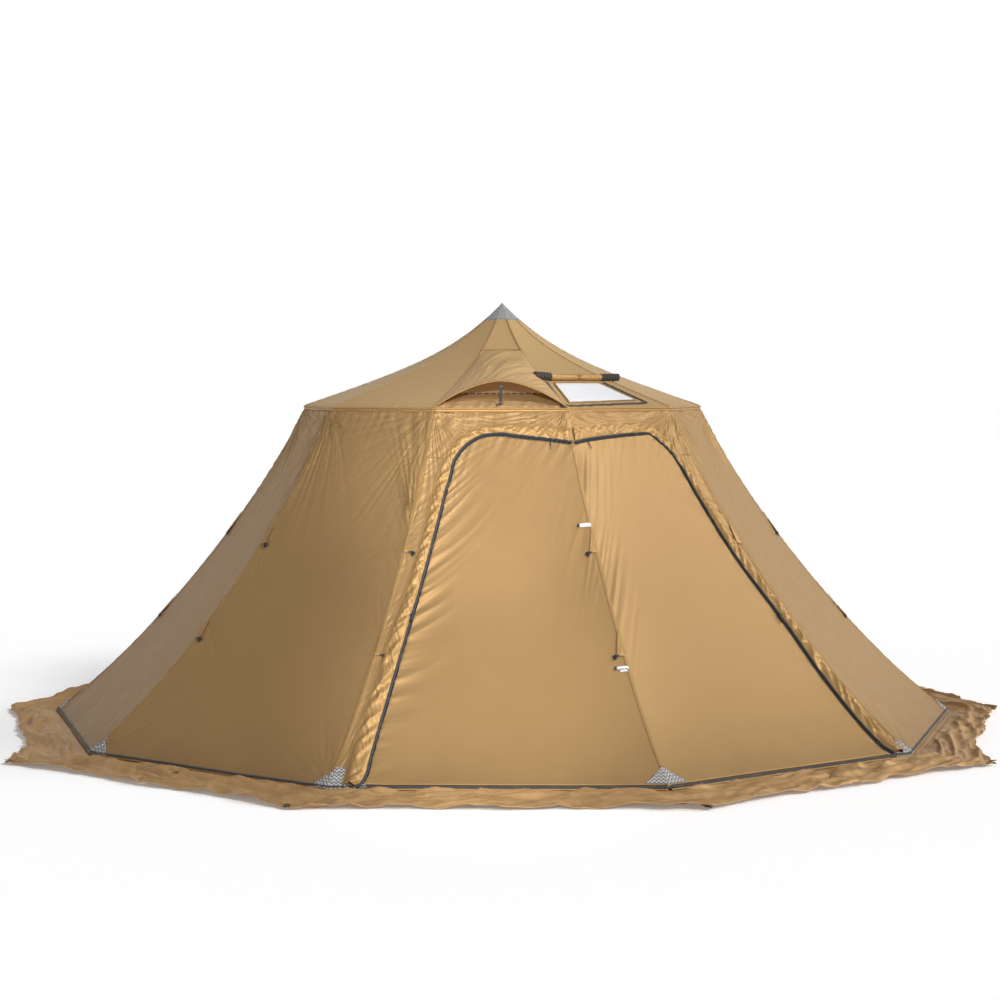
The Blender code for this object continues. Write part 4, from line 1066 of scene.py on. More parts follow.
for c in range(10):
    door = c == 1
    z = np.linspace(0.012, Z_EAVE - 0.003, int(190 * RES))
    if door:
        z1, z2 = z[z < 1.520], z[z > 1.535]
    P, N = ridge_frame(c, z)
    tl, tr = side(c - 1)[0], side(c)[0]
    cols = []
    for s_, w_ in ((-1, 0.009), (-0.5, 0.0045), (0, 0.0), (0.5, 0.0045), (1, 0.009)):
        k = c if s_ >= 0 else c - 1
        xx = (-r_wall(z) * S18 + w_) if s_ >= 0 else (r_wall(z) * S18 - w_)
        nn = wall_normal(k, z)
        rip = 0.0006 * noise(z * 30, s_ * 2.0, 950 + c) + 0.0002
        q = wall_xyz(k, xx, z, (leaf_disp if door else wall_disp)(k, xx, z)) + nn * (0.0016 + rip)[:, None]
        if s_ == 0:
            q = P + N * (0.0022 + rip)[:, None]
        cols.append(q)
    G = np.stack(cols)
    NN = np.broadcast_to(N[None], G.shape)
    uv = np.stack(np.broadcast_arrays(np.linspace(0, .02, 5)[:, None], z[None]), -1)
    sel = slice(None)
    if door:
        cut = int(np.argmax(z > 1.522)) - 1
        cut2 = int(np.argmax(z > 1.532))
        a_ = cloth("ridge_seam_02_door", G[:, :cut], NN[:, :cut], uv[:, :cut], M_WALL, 0.0010, {"dirt": 0 * G[:, :cut, 0]})
        b_ = cloth("ridge_seam_02_head", G[:, cut2:], NN[:, cut2:], uv[:, cut2:], M_TRIM, 0.0010, {"dirt": 0 * G[:, cut2:, 0]})
        for ob in (a_, b_):
            fix_normals(ob)
        s1 = stitches("rs", G[3, :cut], NN[3, :cut], M_THREAD, lift=0.0006)
        a_ = join("ridge_seam_02_door", [a_, s1]); a_.name = "ridge_seam_door"
        ride(a_, "door_right"); ride(b_, "tent")
        SEAM_DOOR = a_
        continue
    o = cloth(f"rs{c}", G, NN, uv, M_TRIM, 0.0010, {"dirt": np.exp(-z / 0.08)[None] * 0.5 * np.ones((5, 1))})
    fix_normals(o)
    st = [o] + [stitches(f"rst{c}{i}", G[i], NN[i], M_THREAD, lift=0.0006) for i in (1, 3)]
    ride(join(f"ridge_seam_{c + 1:02d}", st), "tent")
    # roof ridge
for c in range(10):
    r0 = 0.095
    r1 = EDGE_R - 0.001
    r = np.linspace(r0, r1, int(110 * RES))
    tl, tr = side(c - 1)[0], side(c)[0]
    cols = []
    for s_, w_ in ((-1, 0.006), (0, 0.0), (1, 0.006)):
        k = c if s_ >= 0 else c - 1
        xx = (-r * S18 + w_) if s_ >= 0 else (r * S18 - w_)
        rip = 0.0006 * noise(r * 34, s_ * 2.0, 980 + c) + 0.0004
        cols.append(roof_xyz(k, xx, r, roof_disp(k, xx, r) + 0.0016 + rip + (0.0010 if s_ == 0 else 0)))
        if c in (0, 1) and ((c == 0 and s_ > 0) or (c == 1 and s_ < 0)):
            cols[-1] = roof_xyz(k, xx, r, 0.0046 + rip)
    G = np.stack(cols)
    nn = roof_normal(c % 10, r) + roof_normal((c - 1) % 10, r)
    NN = np.broadcast_to((nn / np.linalg.norm(nn, axis=-1, keepdims=True))[None], G.shape)
    uv = np.stack(np.broadcast_arrays(np.linspace(0, .016, 3)[:, None], r[None]), -1)
    o = cloth(f"rr{c}", G, NN, uv, M_ROOF_PAINTED_LIGHTER, 0.0010, {"dirt": 0 * G[..., 0]})
    fix_normals(o)
    ride(join(f"roof_seam_{c + 1:02d}", [o, stitches(f"rrst{c}", G[1] * 0.5 + G[2] * 0.5, NN[1], M_THREAD, lift=0.0006)]), "tent")

# piping where the roof overhangs the walls
th_c = [(-18 + 36 * i) for i in range(10)]
loop, per = [], int(46 * RES) + 8
for k in range(10):
    x = np.linspace(-1, 1, per, endpoint=False) * EDGE_R * S18
    rr_ = np.full(per, EDGE_R)
    loop.append(roof_xyz(k, x, rr_, roof_disp(k, x, rr_)) - UP * 0.002)
loop = np.concatenate(loop)
pipe = tube("eave_piping", loop, 0.0042, M_TRIM, 8, closed=True)
ride(pipe, "tent")
drop = []
for k in range(10):
    x = np.linspace(-1, 1, per) * (EDGE_R - 0.001) * S18
    rr_ = np.full(per, EDGE_R - 0.001)
    top = roof_xyz(k, x, rr_, roof_disp(k, x, rr_)) - UP * 0.003
    n_ = side(k)[1]
    rows = [top, top - UP * 0.010 + n_ * (0.0015 + 0.0015 * noise(x * 18, 1.0, 990 + k))[:, None], top - UP * (0.020 + 0.002 * noise(x * 11, 0.0, 995 + k))[:, None] + n_ * (0.001 + 0.003 * noise(x * 18, 3.0, 990 + k))[:, None]]
    G = np.stack(rows, 1)[:, ::-1]
    o = cloth(f"dr{k}", G, np.broadcast_to(n_, G.shape), np.stack(np.broadcast_arrays(x[:, None], np.arange(3)[None] * .01), -1), M_TRIM, 0.0012, {"dirt": 0 * G[..., 0]})
    fix_normals(o)
    drop.append(o)
ride(join("eave_drip_edge", drop), "tent")
# webbing round the inside of the eave
ew = []
for k in range(10):
    z_ = 1.660
    n_ = int(30 * RES) + 4
    x = np.linspace(-1, 1, n_) * (float(r_wall(np.array(z_))) - 0.0075) * S18
    C = wall_xyz(k, x, np.full(n_, z_), -0.0055)
    o = band(f"ew{k}", C, np.tile(-wall_normal(k, np.array(z_)), (n_, 1)), 0.028, M_TAPE, thick=0.0016, lift=0.0004)
    ew.append(o)
ride(join("eave_webbing_tape", ew), "tent", "eave_webbing", slot="grey_webbing")

# base webbing: a dark tape along the foot of the wall, standing just off the cloth
bw = []
for k in range(10):
    n_ = int(90 * RES) + 6
    for zc0_, wd, th_, lf in ((0.0150, 0.0125, 0.0016, 0.0022),):
        u_ = np.linspace(-1, 1, n_)
        hw_ = float(r_wall(np.array(zc0_))) * S18 + 0.0012
        x = u_ * hw_
        zz = zc0_ + 0.0012 * noise(x * 6, 0.0, 1000 + k) * (1 - u_ ** 4)
        C, N = wall_line(k, x, zz, lf)
        bw.append(band(f"bw{k}", C, N, wd, M_TAPE, thick=th_, lift=0.0, crown=0.0012, dirt=0.12 + 0.2 * noise(x * 9, 1.0, 1001 + k)))
ride(join("base_webbing_tape", bw), "tent", "base_webbing", slot="grey_webbing")

# ------------------------------------------------------------------ storm flap over the zip, and the bound edge of the doorway
SEAM_PX_L = [(-.700, .020), (-.671, .150), (-.615, .330), (-.560, .505), (-.520, .640), (-.470, .780), (-.432, .900), (-.394, 1.030), (-.365, 1.150), (-.338, 1.270), (-.312, 1.370),
             (-.276, 1.470), (-.205, 1.560), (-.115, 1.604), (0.0, 1.617), (.150, 1.612), (.3445, 1.602)]
SEAM_PX_R = [(-.3445, 1.602), (-.200, 1.611), (-.050, 1.622), (.090, 1.618), (.190, 1.590), (.262, 1.520), (.305, 1.430), (.338, 1.330), (.370, 1.200), (.430, 1.010), (.500, .790),
             (.575, .560), (.640, .330), (.695, .130), (.722, .020)]


def flap(name, k, inner, outer, seed):
    n, m = int(330 * RES), int(26 * RES) + 6
    a, b = spline(inner, n), spline(outer, n)
    v = np.linspace(0, 1, m)[None, :]
    X = a[:, :1] * (1 - v) + b[:, :1] * v
    Z = a[:, 1:] * (1 - v) + b[:, 1:] * v
    lim = r_wall(Z) * S18
    X = np.clip(X, -lim, lim)
    s = np.concatenate([[0], np.cumsum(np.hypot(*np.diff(a, axis=0).T))])[:, None]
    w = np.hypot(b[:, 0] - a[:, 0], b[:, 1] - a[:, 1])[:, None]
    d = v * w
    body = np.sin(np.pi * np.clip(v, 0, 1)) ** 0.8
    rz = np.interp(Z, [0, .3, 1.2, 1.5, 1.65], [1.1, 1.25, 1.0, 0.75, 0.5])
    f = 0.0090 * crease((s + d * 1.5) * 16.0, d * 5.0 + s * 0.8, seed) * body * rz
    f = f + 0.0052 * crease((s - d * 1.1) * 30.0, d * 9.0, seed + 1) * body * rz
    f = f + 0.0090 * crease(s * 3.2, d * 14.0 + 0.8 * noise(s * 2.0, 0.0, seed + 2), seed + 2) * body * np.interp(Z, [0, 0.2, 1.1, 1.4], [1.0, 1.1, 0.8, 0.1])
    f = f + 0.0016 * noise(s * 50, d * 30, seed + 3) * body
    base = wall_disp(k, X, Z)
    P = wall_xyz(k, X, Z, base * (0.6) + 0.0032 + 0.0110 * body * np.interp(Z, [0, 1.2, 1.5], [1.2, 1.0, 0.7]) + np.maximum(f, -0.010 * body) + np.maximum(base * 0.4, 0))
    du_, dv_ = np.gradient(P, axis=0), np.gradient(P, axis=1)
    N = wall_normal(k, Z)
    o = cloth(name, P, N, np.stack([d * np.ones_like(s), s * np.ones_like(d)], -1), M_TRIM, 0.0009, {"dirt": 0.5 * np.exp(-Z / 0.06)})
    fix_normals(o)
    SHEETS.append(o)
    ride(o, "tent")
    return b


for tag, k, inn, outr, seed in (("left", 0, BIND_L, SEAM_PX_L, 1100), ("right", 1, BIND_R, SEAM_PX_R, 1120)):
    b = flap(f"storm_flap_{tag}", k, inn, outr, seed)
    lim = r_wall(b[:, 1]) * S18 - 0.004
    C, N = wall_line(k, np.clip(b[:, 0], -lim, lim), b[:, 1], 0.0034)
    keep = slice(0, None)
    ride(join(f"storm_flap_seam_{tag}", [band(f"sf{tag}", C, N, 0.010, M_TRIM, thick=0.0012, lift=0.0008, dirt=0 * C[:, 0]),
                                         stitches(f"sfs{tag}", C, N, M_THREAD, lift=0.0022)]), "tent")
    P2 = BL if k == 0 else BR
    n_ = len(P2)
    lim = r_wall(P2[:, 1]) * S18 + 0.001
    C, N = wall_line(k, np.clip(P2[:, 0], -lim, lim), P2[:, 1], 0.0)
    wob = 0.0010 * noise(np.arange(n_) * 0.09, 0.0, seed + 9)
    C = C + N * (0.0085 + wob)[:, None]
    tb = tube(f"bd{tag}", C, 0.0044, M_TAPE, 10, flat=0.75, normals=N)
    e1 = band(f"be{tag}", C - N * 0.0062, N, 0.0120, M_TAPE, thick=0.0014, lift=0.0010)
    st = stitches(f"bs{tag}", C, N, M_DTHREAD, lift=0.0038, gap=0.008)
    ride(join(f"door_binding_{tag}", [tb, e1, st]), "tent")

# zip teeth just inside the binding
for tag, k, P2, sg in (("left", 0, BL, 1), ("right", 1, BR, 1)):
    t_ = np.gradient(P2, axis=0); t_ /= np.linalg.norm(t_, axis=1, keepdims=True)
    inn = P2 + np.stack([t_[:, 1], -t_[:, 0]], 1) * 0.0085
    lim = r_wall(inn[:, 1]) * S18 - 0.001
    C, N = wall_line(k, np.clip(inn[:, 0], -lim, lim), inn[:, 1], 0.0)
    tape = band(f"zt{tag}", C, N, 0.007, M_TAPE, thick=0.0010, lift=0.0020)
    teeth = stitches(f"zz{tag}", C, N, M_BLACK, gap=0.0034, length=0.0021, r=0.0022, lift=0.0028)
    ride(join(f"door_zip_{tag}", [tape, teeth]), "tent")

# sill: a strip of cloth behind the foot of the door
for tag, k in (("left", 0), ("right", 1)):
    n_, m_ = int(120 * RES), 8
    zz = np.linspace(0.0060, 0.050, m_)[None, :] * np.ones((n_, 1))
    a_ = zip_x(k, np.array(0.05)) if k == 0 else -R_BASE * S18 + 0.012
    b_ = R_BASE * S18 - 0.012 if k == 0 else zip_x(k, np.array(0.05))
    xx = np.linspace(a_, b_, n_)[:, None] * np.ones((1, m_))
    dd = np.where(zz < 0.0235, 0.0002, -0.0060)
    P = wall_xyz(k, xx, zz, dd)
    o = cloth(f"door_sill_{tag}", P, wall_normal(k, zz), np.stack([xx, zz], -1), M_WALL, 0.0009, {"dirt": 0.3 * np.ones_like(xx)})
    fix_normals(o)
    SHEETS.append(o)
    area, w_, l_ = cut_size(P)
    ride(o, "tent")

# sliders
for tag, k, x_, zz in (("left", 0, 0.250, 1.5385), ("right", 1, -0.270, 1.5365)):
    t, nn = side(k)[0], wall_normal(k, np.array(zz))
    up_ = np.cross(nn, t)
    c = wall_xyz(k, np.array(x_), np.array(zz), 0.0055)
    body_ = box(f"sl{tag}", c + up_ * -0.002, (t, up_, nn), (0.011, 0.012, 0.006), M_BLACK, 0.0015)
    pull = box(f"sp{tag}", c - up_ * 0.019 + nn * 0.0025, (t, up_, nn), (0.0065, 0.024, 0.0022), M_BLACK, 0.0008)
    ring_ = torus(f"sr{tag}", c - up_ * 0.0065 + nn * 0.0028, t, 0.0032, 0.0009, M_STEEL, 16, 6)
    cordp = tube(f"sc{tag}", spline([c - up_ * 0.030 + nn * 0.003, c - up_ * 0.040 + nn * 0.0045 + t * 0.002, c - up_ * 0.050 + nn * 0.003 + t * 0.001], 14), 0.0018, M_TAPE, 7)
    ride(join(f"door_slider_{tag}", [body_, pull, ring_, cordp]), f"zip_{tag}", f"door_zip_slider_{tag}", slot="black_plastic")

# ------------------------------------------------------------------ grey corner patches
def patch(name, k, pts, body, lift=0.0030, seed=0, disp=wall_disp, mats=M_PATCH):
    """A woven reinforcement, a fan of quads from its outline (x, z) on side k."""
    O = np.array(pts, float)
    n_ = 16
    P4 = O if len(O) == 4 else np.vstack([O, O[-1:]])
    u, v = np.linspace(0, 1, n_)[:, None], np.linspace(0, 1, n_)[None, :]
    XZ = (P4[0] * (1 - u)[..., None] + P4[1] * u[..., None]) * (1 - v)[..., None] + (P4[3] * (1 - u)[..., None] + P4[2] * u[..., None]) * v[..., None]
    X, Z = XZ[..., 0], np.maximum(XZ[..., 1], 0.006)
    lim = r_wall(Z) * S18 + 0.002
    X = np.clip(X, -lim, lim)
    P = wall_xyz(k, X, Z, disp(k, X, Z) + lift + 0.0006 * noise(X * 40, Z * 40, seed))
    o = cloth(name, P, wall_normal(k, Z), np.stack([X, Z], -1), mats, 0.0014, {"dirt": 0.4 * np.exp(-Z / 0.04)})
    fix_normals(o)
    return o


HB = R_BASE * S18
for c in range(10):
    if c == 0:
        A = patch("c0a", 9, [(HB - .105, .008), (HB + .001, .008), (HB - .024, .085), (HB - .045, .062)], "tent")
        B = patch("c0b", 0, [(-HB - .001, .008), (-HB + .100, .008), (-HB + .104, .084), (-HB + .024, .088)], "tent")
        ride(join("corner_patch_01", [A, B]), "tent")
        ride(patch("corner_patch_01_small", 0, [(-HB + .125, .012), (-HB + .185, .012), (-HB + .160, .044), (-HB + .140, .040)], "tent", lift=0.0042), "tent")
    elif c == 1:
        A = patch("corner_patch_02_left", 0, [(HB - .115, .028), (HB - .001, .028), (HB - .028, .096), (HB - .036, .090)], "d", disp=leaf_disp)
        B = patch("corner_patch_02_right", 1, [(-HB + .001, .028), (-HB + .125, .028), (-HB + .036, .090), (-HB + .028, .096)], "d", disp=leaf_disp)
        ride(A, "door_left"); ride(B, "door_right")
    else:
        A = patch(f"c{c}a", c - 1, [(HB - .110, .010), (HB + .001, .010), (HB - .024, .090), (HB - .040, .070)], "tent")
        B = patch(f"c{c}b", c % 10, [(-HB - .001, .010), (-HB + .110, .010), (-HB + .040, .070), (-HB + .024, .090)], "tent")
        ride(join(f"corner_patch_{c + 1:02d}", [A, B]), "tent")

# ------------------------------------------------------------------ guy tabs on the ridges, loops and ties
def tab(name, c, z, body, left=True, drop=0.115, seed=0, buckle=True):
    """A narrow triangle of cloth sewn to the ridge, with a webbing clip at its low outer corner."""
    P, N = ridge_frame(c, np.array([z, z - drop]))
    top, low = P
    nn = N[0]
    k = (c - 1) % 10 if left else c % 10
    t = side(k)[0] * (-1 if left else 1)
    off = t * 0.048
    d_ = (leaf_disp if c == 1 else wall_disp)
    u, v = np.linspace(0, 1, 12)[:, None], np.linspace(0, 1, 14)[None, :]
    ridge = top * (1 - v)[..., None] + low * v[..., None]
    G = ridge + off * (u * v * (0.92 - 0.10 * v))[..., None]
    rd = nn * (0.0070 + 0.0045 * u * v + 0.0012 * noise(u * 4, v * 6, seed))[..., None]
    G = G + rd
    o = cloth(f"{name}c", G, np.broadcast_to(nn, G.shape), np.stack(np.broadcast_arrays(u * .04, v * .1), -1), M_TRIM, 0.0014, {"dirt": 0 * G[..., 0]})
    fix_normals(o)
    out = [o]
    edge = G[-1] * 0.92 + G[0] * 0.08
    out.append(stitches(f"{name}s", edge, np.broadcast_to(nn, edge.shape), M_THREAD, lift=0.0006))
    cor = G[-1, -1]
    if buckle:
        upv = np.cross(nn, t); upv = upv * (1 if upv[2] > 0 else -1)
        strip = spline([cor - t * 0.010, cor + t * 0.008 - UP * 0.002, cor + t * 0.020 - UP * 0.010], 10)
        out.append(tube(f"{name}w", strip, 0.0060, M_TAPE, 8, flat=0.30, normals=np.tile(nn, (10, 1))))
        bc = cor + t * 0.010 - UP * 0.010 + nn * 0.004
        out.append(box(f"{name}b", bc, (t, upv, nn), (0.017, 0.020, 0.006), M_BLACK, 0.0020))
        out.append(box(f"{name}b2", bc + nn * 0.0042, (t, upv, nn), (0.013, 0.006, 0.003), M_BLACK, 0.001))
        out.append(torus(f"{name}r", bc - upv * 0.012, nn, 0.0050, 0.0013, M_BLACK, 18, 7))
    o = join(name, out)
    return ride(o, body)


for c in range(10):
    for i, z_ in enumerate((1.115, 0.655)):
        if c == 1:
            z_ = (1.112, 0.652)[i]
            tab(f"guy_tab_02_{i + 1}", 1, z_, "door_left", True, seed=1200 + i)
        else:
            tab(f"guy_tab_{c + 1:02d}_{i + 1}", c, z_, "tent", left=c in (1, 2, 3, 4, 5), seed=1210 + c * 2 + i)


def loop_tag(name, z, body, seed, pair):
    P, N = ridge_frame(1, np.array([z]))
    p, nn = P[0], N[0]
    t = -side(0)[0]
    out = []
    for i in ((0, 1) if pair else (0,)):
        h = -0.016 * i
        pts = [p + nn * 0.006 + UP * h, p + t * 0.014 + nn * 0.013 + UP * (h + 0.001), p + t * 0.048 + nn * (0.014 - 0.003 * i) + UP * (h - 0.003), p + t * 0.058 + nn * 0.010 + UP * (h - 0.004), p + t * 0.046 + nn * 0.0085 + UP * (h - 0.004), p + t * 0.010 + nn * 0.0065 + UP * (h - 0.001)]
        s = spline(pts, 40)
        out.append(tube(f"{name}{i}", s, 0.0062 if pair else 0.0095, M_REFLECT, 10, flat=0.16, normals=np.tile(nn, (40, 1))))
    s = p + t * 0.062 + nn * 0.011 - UP * 0.004
    up_ = np.cross(nn, t)
    out.append(box(f"{name}e", s, (t, up_, nn), (0.010, 0.018, 0.005), M_TAPE, 0.0012))
    return ride(join(name, out), body)


loop_tag("door_loop_upper", 1.126, "door_left", 1, False)
loop_tag("door_loop_lower", 0.486, "door_left", 2, True)
for tag, k, (x_, z_) in (("left", 0, (-.430, .700)), ("right", 1, (.492, .640))):
    c, nn = wall_line(k, np.array([x_]), np.array([z_]), 0.010)
    c, nn = c[0], nn[0]
    t = side(k)[0] * (1 if k == 0 else -1)
    up_ = np.cross(nn, side(k)[0])
    o1 = box("tt1", c + nn * 0.003 + t * 0.008, (t, up_, nn), (0.016, 0.044, 0.0035), M_VELCRO, 0.0014)
    o2 = tube("tt2", spline([c + up_ * 0.016 + nn * 0.004, c + up_ * 0.020 + nn * 0.010 + t * 0.014, c - up_ * 0.002 + nn * 0.013 + t * 0.016, c - up_ * 0.020 + nn * 0.008 + t * 0.010], 20), 0.0030, M_TAPE, 8, flat=0.5)
    o3 = box("tt3", c - up_ * 0.022 + nn * 0.009 + t * 0.009, (t, up_, nn), (0.009, 0.010, 0.006), M_BLACK, 0.0015)
    ride(join(f"door_tie_{tag}", [o1, o2, o3]), "tent")

# ------------------------------------------------------------------ mud skirt
TIP = {18: 2.950, 54: 2.930, 90: 2.750, 126: 2.930, 162: 2.950}
MID = {0: 2.810, 36: 2.780, 72: 2.640, 108: 2.640, 144: 2.780, 180: 2.810}


def skirt_out(a):
    """Outer radius of the skirt at angle a in degrees from the front, signed."""
    b = np.abs((a + 180) % 360 - 180)
    cor = np.clip(18 + 36 * np.round((b - 18) / 36), 18, 162)
    mid = np.clip(36 * np.round(b / 36), 0, 180)
    tip = np.interp(cor, [18, 54, 90, 126, 162], [TIP[q] for q in (18, 54, 90, 126, 162)])
    md = np.interp(mid, [0, 36, 72, 108, 144, 180], [MID[q] for q in (0, 36, 72, 108, 144, 180)])
    f = np.clip(np.abs(b - cor) / 18, 0, 1)
    return md + (tip - md) * (1 - f) ** 2.5 - 0.02 * np.sin(np.pi * f)


def skirt_piece(name, a0, a1, node, seed):
    n, m = int(430 * RES), int(60 * RES) + 4
    a = np.linspace(a0, a1, n)[:, None]
    v = np.linspace(0, 1, m)[None, :]
    dev = (a + 18) % 36 - 18
    rin = 2.440 * C18 / np.cos(np.radians(dev)) * np.ones_like(v)
    edge = 1.0 + 0.0060 * noise(a * 0.45, 0.0, seed) + 0.0014 * noise(a * 1.6, 1.0, seed + 1)
    tipw = np.exp(-((np.abs((np.abs((a + 180) % 360 - 180) - 18) % 36 - 0) / 2.0) ** 2))
    rout = skirt_out(a) * np.where(skirt_out(a) > 2.9, np.minimum(edge, 1.0), edge)
    R = rin * (1 - v) + rout * v
    wallr = R_BASE * C18 / np.cos(np.radians(dev))
    off = np.maximum(R - wallr - 0.012, 0)
    A = np.radians(a) * R
    open_ = smooth(off / 0.09)
    z = 0.0016 + 0.0240 * np.maximum(0.30 + crease(A * 4.2 + off * 3.0, off * 9.0, seed + 2), 0) * open_ * 0.62
    z = z + 0.0085 * np.maximum(crease(A * 7.0 - off * 7.0, off * 14.0, seed + 3), -0.1) * open_ * 0.7
    z = z + 0.0014 * noise(A * 30, off * 26, seed + 4) * open_
    z = z + 0.022 * np.maximum(crease(A * 1.7, off * 11.0 + 1.4 * noise(A * 1.2, 0.0, seed), seed + 5), 0) * open_ * 0.8
    near = smooth(off / 0.02) * (1 - smooth(off / 0.10))
    z = z + near * (0.0040 + 0.0035 * noise(A * 9, 0.0, seed + 6))
    rim = np.clip((R - rout + 0.014) / 0.014, 0, 1)
    z = z * (1 - 0.15 * rim) + 0.0012 * rim
    z = np.maximum(z, 0.0008) + 0.0012
    th_ = np.radians(a)
    P = np.stack([R * np.sin(th_), -R * np.cos(th_), z], -1)
    du_, dv_ = np.gradient(P, axis=0), np.gradient(P, axis=1)
    N = np.cross(du_, dv_)
    N /= np.linalg.norm(N, axis=2, keepdims=True) + 1e-12
    N[N[..., 2] < 0] *= -1
    Nd = np.broadcast_to(UP, P.shape)
    uv = np.stack([A, R], -1)
    o = cloth(name, P, Nd, uv, M_SKIRT, 0.0010, {"dirt": np.clip(0.12 + 0.25 * noise(A * 3, R * 5, seed + 8), 0, 0.5)})
    fix_normals(o)
    SHEETS.append(o)
    ride(o, "tent", node, slot="skirt_cloth")
    # rolled hem
    b = P[:, -1] + UP * 0.0006
    hem = tube(f"{name}_h", b, 0.0026, M_SKIRT, 7, flat=0.8)
    st = stitches(f"{name}_s", P[:, -4], Nd[:, -4], M_THREAD, lift=0.0005)
    ride(join(f"{name}_hem", [hem, st]), "tent")
    return o


for name, a0, a1, seed in (("mud_skirt_front", -36, 36, 1300), ("mud_skirt_right_front", 36, 108, 1320), ("mud_skirt_right_rear", 108, 180, 1340),
                           ("mud_skirt_left_rear", -180, -108, 1360), ("mud_skirt_left_front", -108, -36, 1380)):
    skirt_piece(name + "_cloth", a0, a1, name, seed)

# stake loops at the skirt's points, with a metal ring
for c in range(10):
    ang = math.radians(-18 + 36 * c)
    rt = float(skirt_out(np.array(-18.0 + 36 * c))) - 0.034
    e = np.array([math.sin(ang), -math.cos(ang), 0.0]); w = np.array([math.cos(ang), math.sin(ang), 0.0])
    p = e * rt + UP * 0.012
    pts = [p - e * 0.030 - w * 0.006, p + w * -0.009, p + e * 0.022 - w * 0.006 + UP * 0.003, p + e * 0.028, p + e * 0.022 + w * 0.006 + UP * 0.003, p + w * 0.009, p - e * 0.030 + w * 0.006]
    lp = tube(f"lp{c}", spline(pts, 40), 0.0042, M_TAPE, 8, flat=0.45)
    rg = torus(f"rg{c}", p + e * 0.012 + UP * 0.006, e * 0.25 + UP, 0.013, 0.0021, M_STEEL, 24, 8)
    ptch = box(f"lpp{c}", p - e * 0.032 + UP * 0.001, (e, w, UP), (0.034, 0.030, 0.0035), M_SKIRT, 0.0014)
    tb_ = lathe(f"rt{c}", [(0, 0.0), (0.019, 0.0), (0.0195, 0.0016), (0.018, 0.0034), (0.004, 0.0040), (0, 0.0040)], M_SKIRT, loc=tuple(e * 2.565 + UP * 0.012), steps=22)
    ride(join(f"stake_loop_{c + 1:02d}", [lp, rg, ptch, tb_]), "tent")

# ------------------------------------------------------------------ pole, hub and struts
foot = lathe("pole_foot_rubber", [(0, 0.0), (0.0335, 0.0), (0.0358, 0.0022), (0.0358, 0.0060), (0.0330, 0.0085), (0.0350, 0.0110), (0.0320, 0.0165), (0.0235, 0.0196), (0, 0.0196)], M_RUBBER)
ride(foot, "tent", "pole_foot", slot="rubber_foot")


def pole(name, od, idd, z0, z1, node, extra=()):
    ro, ri = od / 2, idd / 2
    pr = [(ri, z0), (ro - 0.0006, z0), (ro, z0 + 0.0006)]
    for zc in extra:
        pr += [(ro, zc - 0.004), (ro - 0.0009, zc - 0.002), (ro - 0.0009, zc + 0.002), (ro, zc + 0.004)]
    pr += [(ro, z1 - 0.0006), (ro - 0.0006, z1), (ri, z1)]
    o = lathe(name, pr, M_ALU, close=True, steps=36)
    return ride(o, "tent", node, slot="pole_aluminium")


pole("pole_lower_tube", .032, .029, 0.0203, 1.170, "pole_lower", (0.06, 0.30, 1.10))
pole("pole_upper_tube", .0282, .0254, 1.020, 2.190, "pole_upper", (1.30, 1.80, 2.10))
ride(lathe("pole_collar_ring", [(0.0146, 1.1703), (0.0200, 1.1703), (0.0212, 1.1718), (0.0212, 1.1800), (0.0200, 1.1815), (0.0212, 1.1830), (0.0212, 1.1990), (0.0182, 1.2060), (0.0146, 1.2060)], M_BLACK, close=True), "tent", "pole_collar", slot="black_plastic")
ride(lathe("pole_top_stop", [(0, 2.1903), (0.0182, 2.1903), (0.0187, 2.1912), (0.0187, 2.1990), (0.0160, 2.2050), (0.0120, 2.2105), (0.0060, 2.2150), (0, 2.2162)], M_BLACK), "tent", "pole_top_cap", slot="black_plastic")
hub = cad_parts["strut_hub"]
hub.data.materials.clear(); hub.data.materials.append(M_BLACK)
mod = hub.modifiers.new("edge", "BEVEL"); mod.width = 0.0010; mod.segments = 2; mod.limit_method = "ANGLE"
TIP_R = float(r_wall(np.array(1.660))) - 0.012
for c in range(10):
    ang = math.radians(-18 + 36 * c)
    e = np.array([math.sin(ang), -math.cos(ang), 0.0])
    o_ = np.array([0, 0, 1.660])
    r_ = 0.00475
    pr = [(0, 0.034), (r_ * 0.8, 0.034), (r_, 0.0352), (r_, 0.062), (r_ * 0.86, 0.0635), (r_ * 0.86, 0.500), (r_, 0.502), (r_, 0.545), (r_ * 0.86, 0.547), (r_ * 0.86, 1.010), (r_ * 1.45, 1.012), (r_ * 1.45, TIP_R - 0.006), (r_ * 1.1, TIP_R - 0.002), (r_ * 0.6, TIP_R), (0, TIP_R)]
    o = lathe(f"spreader_{c + 1:02d}", pr, M_ROD, loc=tuple(o_), axis=tuple(e), steps=14)
    o.data.materials.append(M_ALU); o.data.materials.append(M_BLACK)
    for p_ in o.data.polygons:
        d_ = p_.center.dot(Vector(e))
        p_.material_index = 2 if d_ > 1.009 or d_ < 0.063 else (1 if 0.5 < d_ < 0.547 else 0)
    ride(o, f"strut_{c + 1:02d}", f"strut_{c + 1:02d}", slot="glass_fibre_rod")

